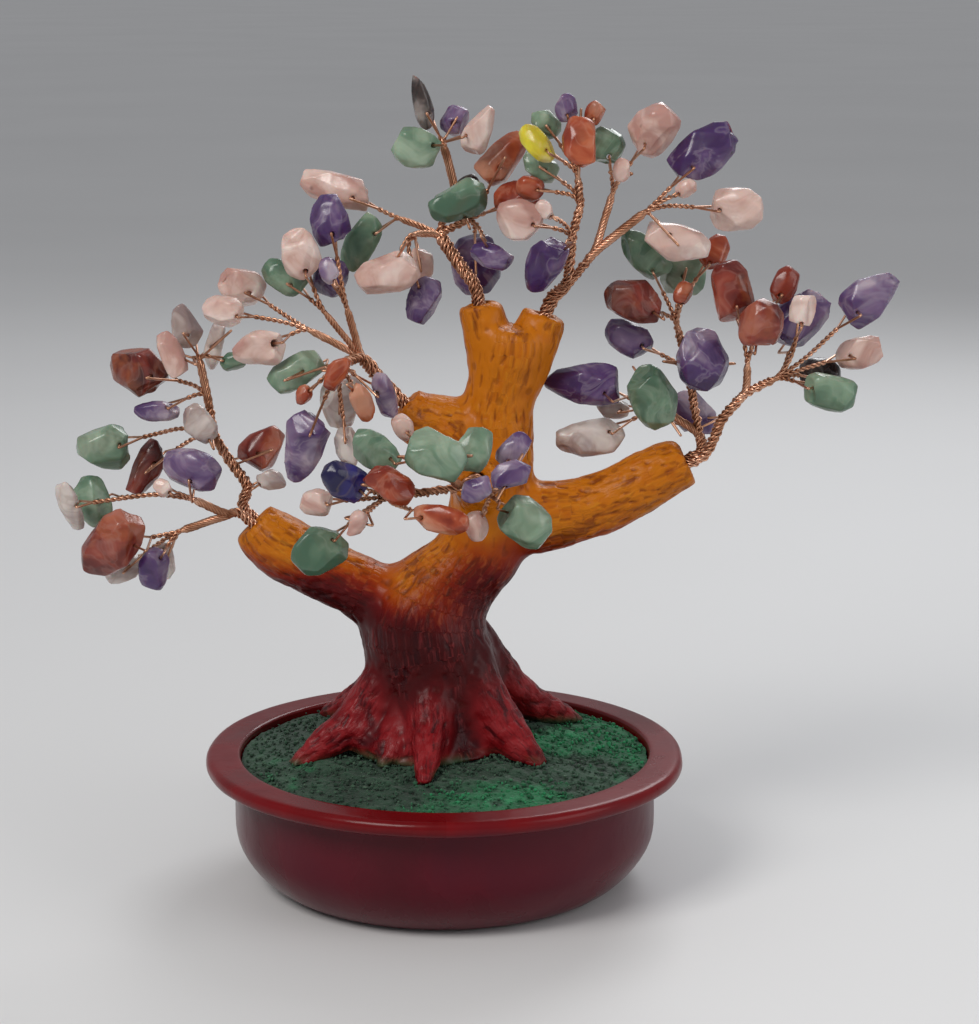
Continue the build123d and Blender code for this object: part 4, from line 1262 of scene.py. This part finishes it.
# Stones: each chip of a node gets soft edges, hollows and its own grain
def make_stones(name, kind):
    node = f"{name}_{kind}_chips"
    owned = [stone for stone in branches[name].stones if stone.kind == kind]
    points, _, faces = remeshed(node, stone_voxel, stone_rounds)
    ways = normals_of(points, faces)
    reaches = [lengths((points - stone.middle) @ stone.turn / stone.half_sizes) for stone in owned]
    owner = np.argmin(reaches, axis=0)
    seed = stone_seed + 7 * list(branches).index(name) + len(kind)
    shift = np.zeros_like(points)
    grain = np.zeros_like(points)
    tone = np.zeros(len(points))
    for number, stone in enumerate(owned):
        mine = owner == number
        draw = np.random.default_rng(seed * 100 + number)
        local = (points[mine] - stone.middle) @ stone.turn
        for _ in range(worn_sides):
            way = unit(draw.normal(size=3))
            outermost = (local @ way).max()
            beyond = local @ way - outermost * draw.uniform(0.7, 0.92)
            shift[mine] -= np.outer(np.clip(beyond, 0, 1.4) * 0.9, stone.turn @ way)
        turn = np.linalg.qr(draw.normal(size=(3, 3)))[0]
        grain[mine] = local @ turn + draw.uniform(-grain_spread, grain_spread, 3)
        # One end is often paler than the other
        zone = local @ unit(draw.normal(size=3)) / stone.half_sizes.max()
        tone[mine] = draw.uniform(-0.14, 0.14) + draw.uniform(0, 0.22) * zone
    lift = stone_swell + relief(points, stone_relief, seed)
    lift -= stone_hollow * ease(noise(points, 7, seed + 2), 0.2, 0.9)
    points = points + shift + ways * lift[:, None]
    made = piece(f"{name}_{kind}_stones", points, faces, kind, grain=grain * millimetre, tone=tone)
    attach(made, name)
    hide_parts(node)


# Wires: real strands wound round each run's line
def rounded(points, cut):
    """Points along a line of runs whose corners are eased."""
    done = [points[0]]
    for before, corner, after in zip(points, points[1:], points[2:]):
        back = min(cut, np.linalg.norm(before - corner) * 0.45)
        ahead = min(cut, np.linalg.norm(after - corner) * 0.45)
        start = corner + unit(before - corner) * back
        end = corner + unit(after - corner) * ahead
        for share in np.linspace(0, 1, 7):
            done.append(start * (1 - share) ** 2 + corner * 2 * share * (1 - share) + end * share**2)
    return np.array([*done, points[-1]])


def resampled(points, step):
    """The same line in even steps, and how far along it each point lies."""
    passed = np.concatenate(([0], np.cumsum(lengths(np.diff(points, axis=0)))))
    spots = np.linspace(0, passed[-1], max(int(passed[-1] / step), 2) + 1)
    return np.stack([np.interp(spots, passed, points[:, axis]) for axis in range(3)], 1), spots


def frames(points):
    """Two ways square to the line at each point, turning as little as they can."""
    ways = np.gradient(points, axis=0)
    ways /= lengths(ways)[:, None]
    level = (0, 1, 0) if abs(ways[0][1]) < 0.8 else (1, 0, 0)
    sides = [unit(np.cross(ways[0], level))]
    for way in ways[1:]:
        sides.append(unit(sides[-1] - way * (sides[-1] @ way)))
    sides = np.array(sides)
    return sides, np.cross(ways, sides)


def turned(angles, sides, fronts):
    """The ways at these angles from the sides towards the fronts."""
    return np.cos(angles)[..., None] * sides + np.sin(angles)[..., None] * fronts


def wound(points, radius, pitch, phase):
    """A strand's own line, wound round points at a radius that shrinks as the run closes."""
    points, spots = resampled(points, pitch / wind_steps)
    angles = 2 * np.pi * spots / pitch + phase
    radii = radius * (1 - 0.7 * ease(spots, spots[-1] - closing, spots[-1]))[:, None]
    return points + radii * turned(angles, *frames(points))


def bundle(points, fed, draw):
    """A run of twisted wires that feeds so many stones and closes up at its end: their lines."""
    ring = max(loose_share * bundle_radius(fed), touching)
    paired = fed >= fewest_paired
    ring -= touching * paired
    strands = 2 if fed == 1 else max(int(np.pi * ring / wire_radius / (1 + paired)), 3)
    pitch = max(stem_pitch * ring, twig_pitch) * draw.uniform(0.9, 1.15)
    start = draw.uniform(0, 2 * np.pi)
    made = []
    for strand in range(strands):
        phase = start + 2 * np.pi * strand / strands
        line = wound(points, ring * draw.uniform(0.86, 1.08), pitch, phase)
        if not paired:
            made.append(line)
            continue
        # Each strand of a thick stem is itself two wires twisted together
        made += [wound(line, touching, pair_pitch, half + phase) for half in (0, np.pi)]
    return made


def twig(stone, before, draw):
    """The line of one wire that twists out to its stone, goes through it and twists back."""
    bend, twist, eye_left, eye_right = stone.route()
    runs = [stone.fork - before, stone.fork, twist]
    if bend is not stone.fork:
        runs.insert(2, bend)
    side = unit(eye_right - eye_left)
    pitch = twig_pitch * draw.uniform(0.9, 1.15)
    points, spots = resampled(rounded(runs, path_ease), pitch / wind_steps)
    sides, fronts = frames(points)
    # The twist ends with its two wires to the left and right of the way to the stone
    close = np.arctan2(side @ fronts[-1], side @ sides[-1])
    angles = 2 * np.pi * (spots - spots[-1]) / pitch + close
    spoke = touching * turned(angles, sides, fronts)
    there, back = points - spoke, points + spoke
    eye = rounded([there[-1], eye_left, eye_right, back[-1]], eye_ease)
    eye, _ = resampled(eye, eye_step)
    return np.vstack((there, eye[1:-1], back[::-1]))


def wire_piece(name, lines):
    """Round copper wires along these lines, as one piece."""
    angles = np.linspace(0, 2 * np.pi, wire_sides, endpoint=False)
    rings, faces, count = [], [], 0
    for points in lines:
        sides, fronts = frames(points)
        around = wire_radius * turned(angles, sides[:, None], fronts[:, None])
        rings.append((points[:, None] + around).reshape(-1, 3))
        first = count + np.arange(wire_sides)
        count += len(rings[-1])
        faces += ring_faces(first[0], len(points), wire_sides)
        faces += [first[::-1].tolist(), (first + len(rings[-1]) - wire_sides).tolist()]
    return piece(name, np.concatenate(rings), faces, "copper")


def make_wires(name, branch):
    draw = np.random.default_rng(wire_seed + list(branches).index(name))
    bottom = branch.pivot - branch.out * stem_depth
    corners = [bottom, branch.pivot, branch.runs[0][1], branch.runs[1][1]]
    stem = bundle(rounded(corners, path_ease), len(branch.stones), draw)
    made = wire_piece(f"{name}_stem", stem)
    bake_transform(made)
    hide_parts("wire_anchors")
    before = {tuple(end): unit(end - start) * overlap for start, end, _ in branch.runs[1:]}
    sprays = []
    for start, end, load in branch.runs[2:]:
        back = before.get(tuple(start), branch.out * overlap)
        sprays += bundle(rounded([start - back, start, end], path_ease), load, draw)
    sprays += [twig(stone, before[tuple(stone.fork)], draw) for stone in branch.stones]
    made = wire_piece(f"{name}_sprays", sprays)
    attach(made, name)
    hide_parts(f"{name}_wires")


make_pot()
make_trunk()
make_moss()
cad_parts["ground_fill"].data.materials.clear()
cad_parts["ground_fill"].data.materials.append(materials["ground_fill"])
for name, branch in branches.items():
    make_wires(name, branch)
    for kind in sorted({stone.kind for stone in branch.stones}):
        make_stones(name, kind)

# Camera, floor and light
camera = shown("camera", bpy.data.cameras.new("camera"))
camera.data.lens = camera_lens
camera.data.sensor_width = camera_sensor
camera.location = np.array((eye_across, -eye_distance, eye_height)) * millimetre
camera.rotation_euler = (np.radians(90 - camera_tilt), 0, 0)
bpy.context.scene.camera = camera

floor_mesh = bpy.data.meshes.new("floor")
floor_signs = ((-1, -1), (1, -1), (1, 1), (-1, 1))
floor_corners = [(across * floor_half, back * floor_half, 0) for across, back in floor_signs]
floor_mesh.from_pydata(floor_corners, [], [(0, 1, 2, 3)])
floor = shown("floor", floor_mesh)
look = Nodes("floor", Roughness=0.55)
look.set(Base_Color=look.ramp(look.noise(look.place(), 3), (0.3, 0.68), (0.7, 0.71)))
floor_mesh.materials.append(look.material)

world = bpy.data.worlds.new("studio")
bpy.context.scene.world = world
world.use_nodes = True
background = world.node_tree.nodes["Background"].inputs
background["Color"].default_value = sky_colour
background["Strength"].default_value = sky_strength


def lamp(name, place, power, size, colour=(1, 1, 1)):
    """A soft square lamp at a place in metres, aimed at the tree's middle."""
    light = bpy.data.lights.new(name, "AREA")
    light.energy = power
    light.size = size
    light.color = colour
    made = shown(name, light)
    made.location = place
    made.rotation_euler = (tree_middle - Vector(place)).to_track_quat("-Z", "Y").to_euler()


tree_middle = Vector((0, 0, 0.09))
lamp("key", (-0.45, -0.6, 0.75), 5.5, 0.4, (1, 0.98, 0.95))
lamp("fill", (0.7, -0.35, 0.35), 1.6, 0.5)
lamp("back", (0.25, 0.65, 0.6), 2.4, 0.4, (0.97, 0.98, 1))
bpy.context.scene.view_settings.view_transform = "Standard"
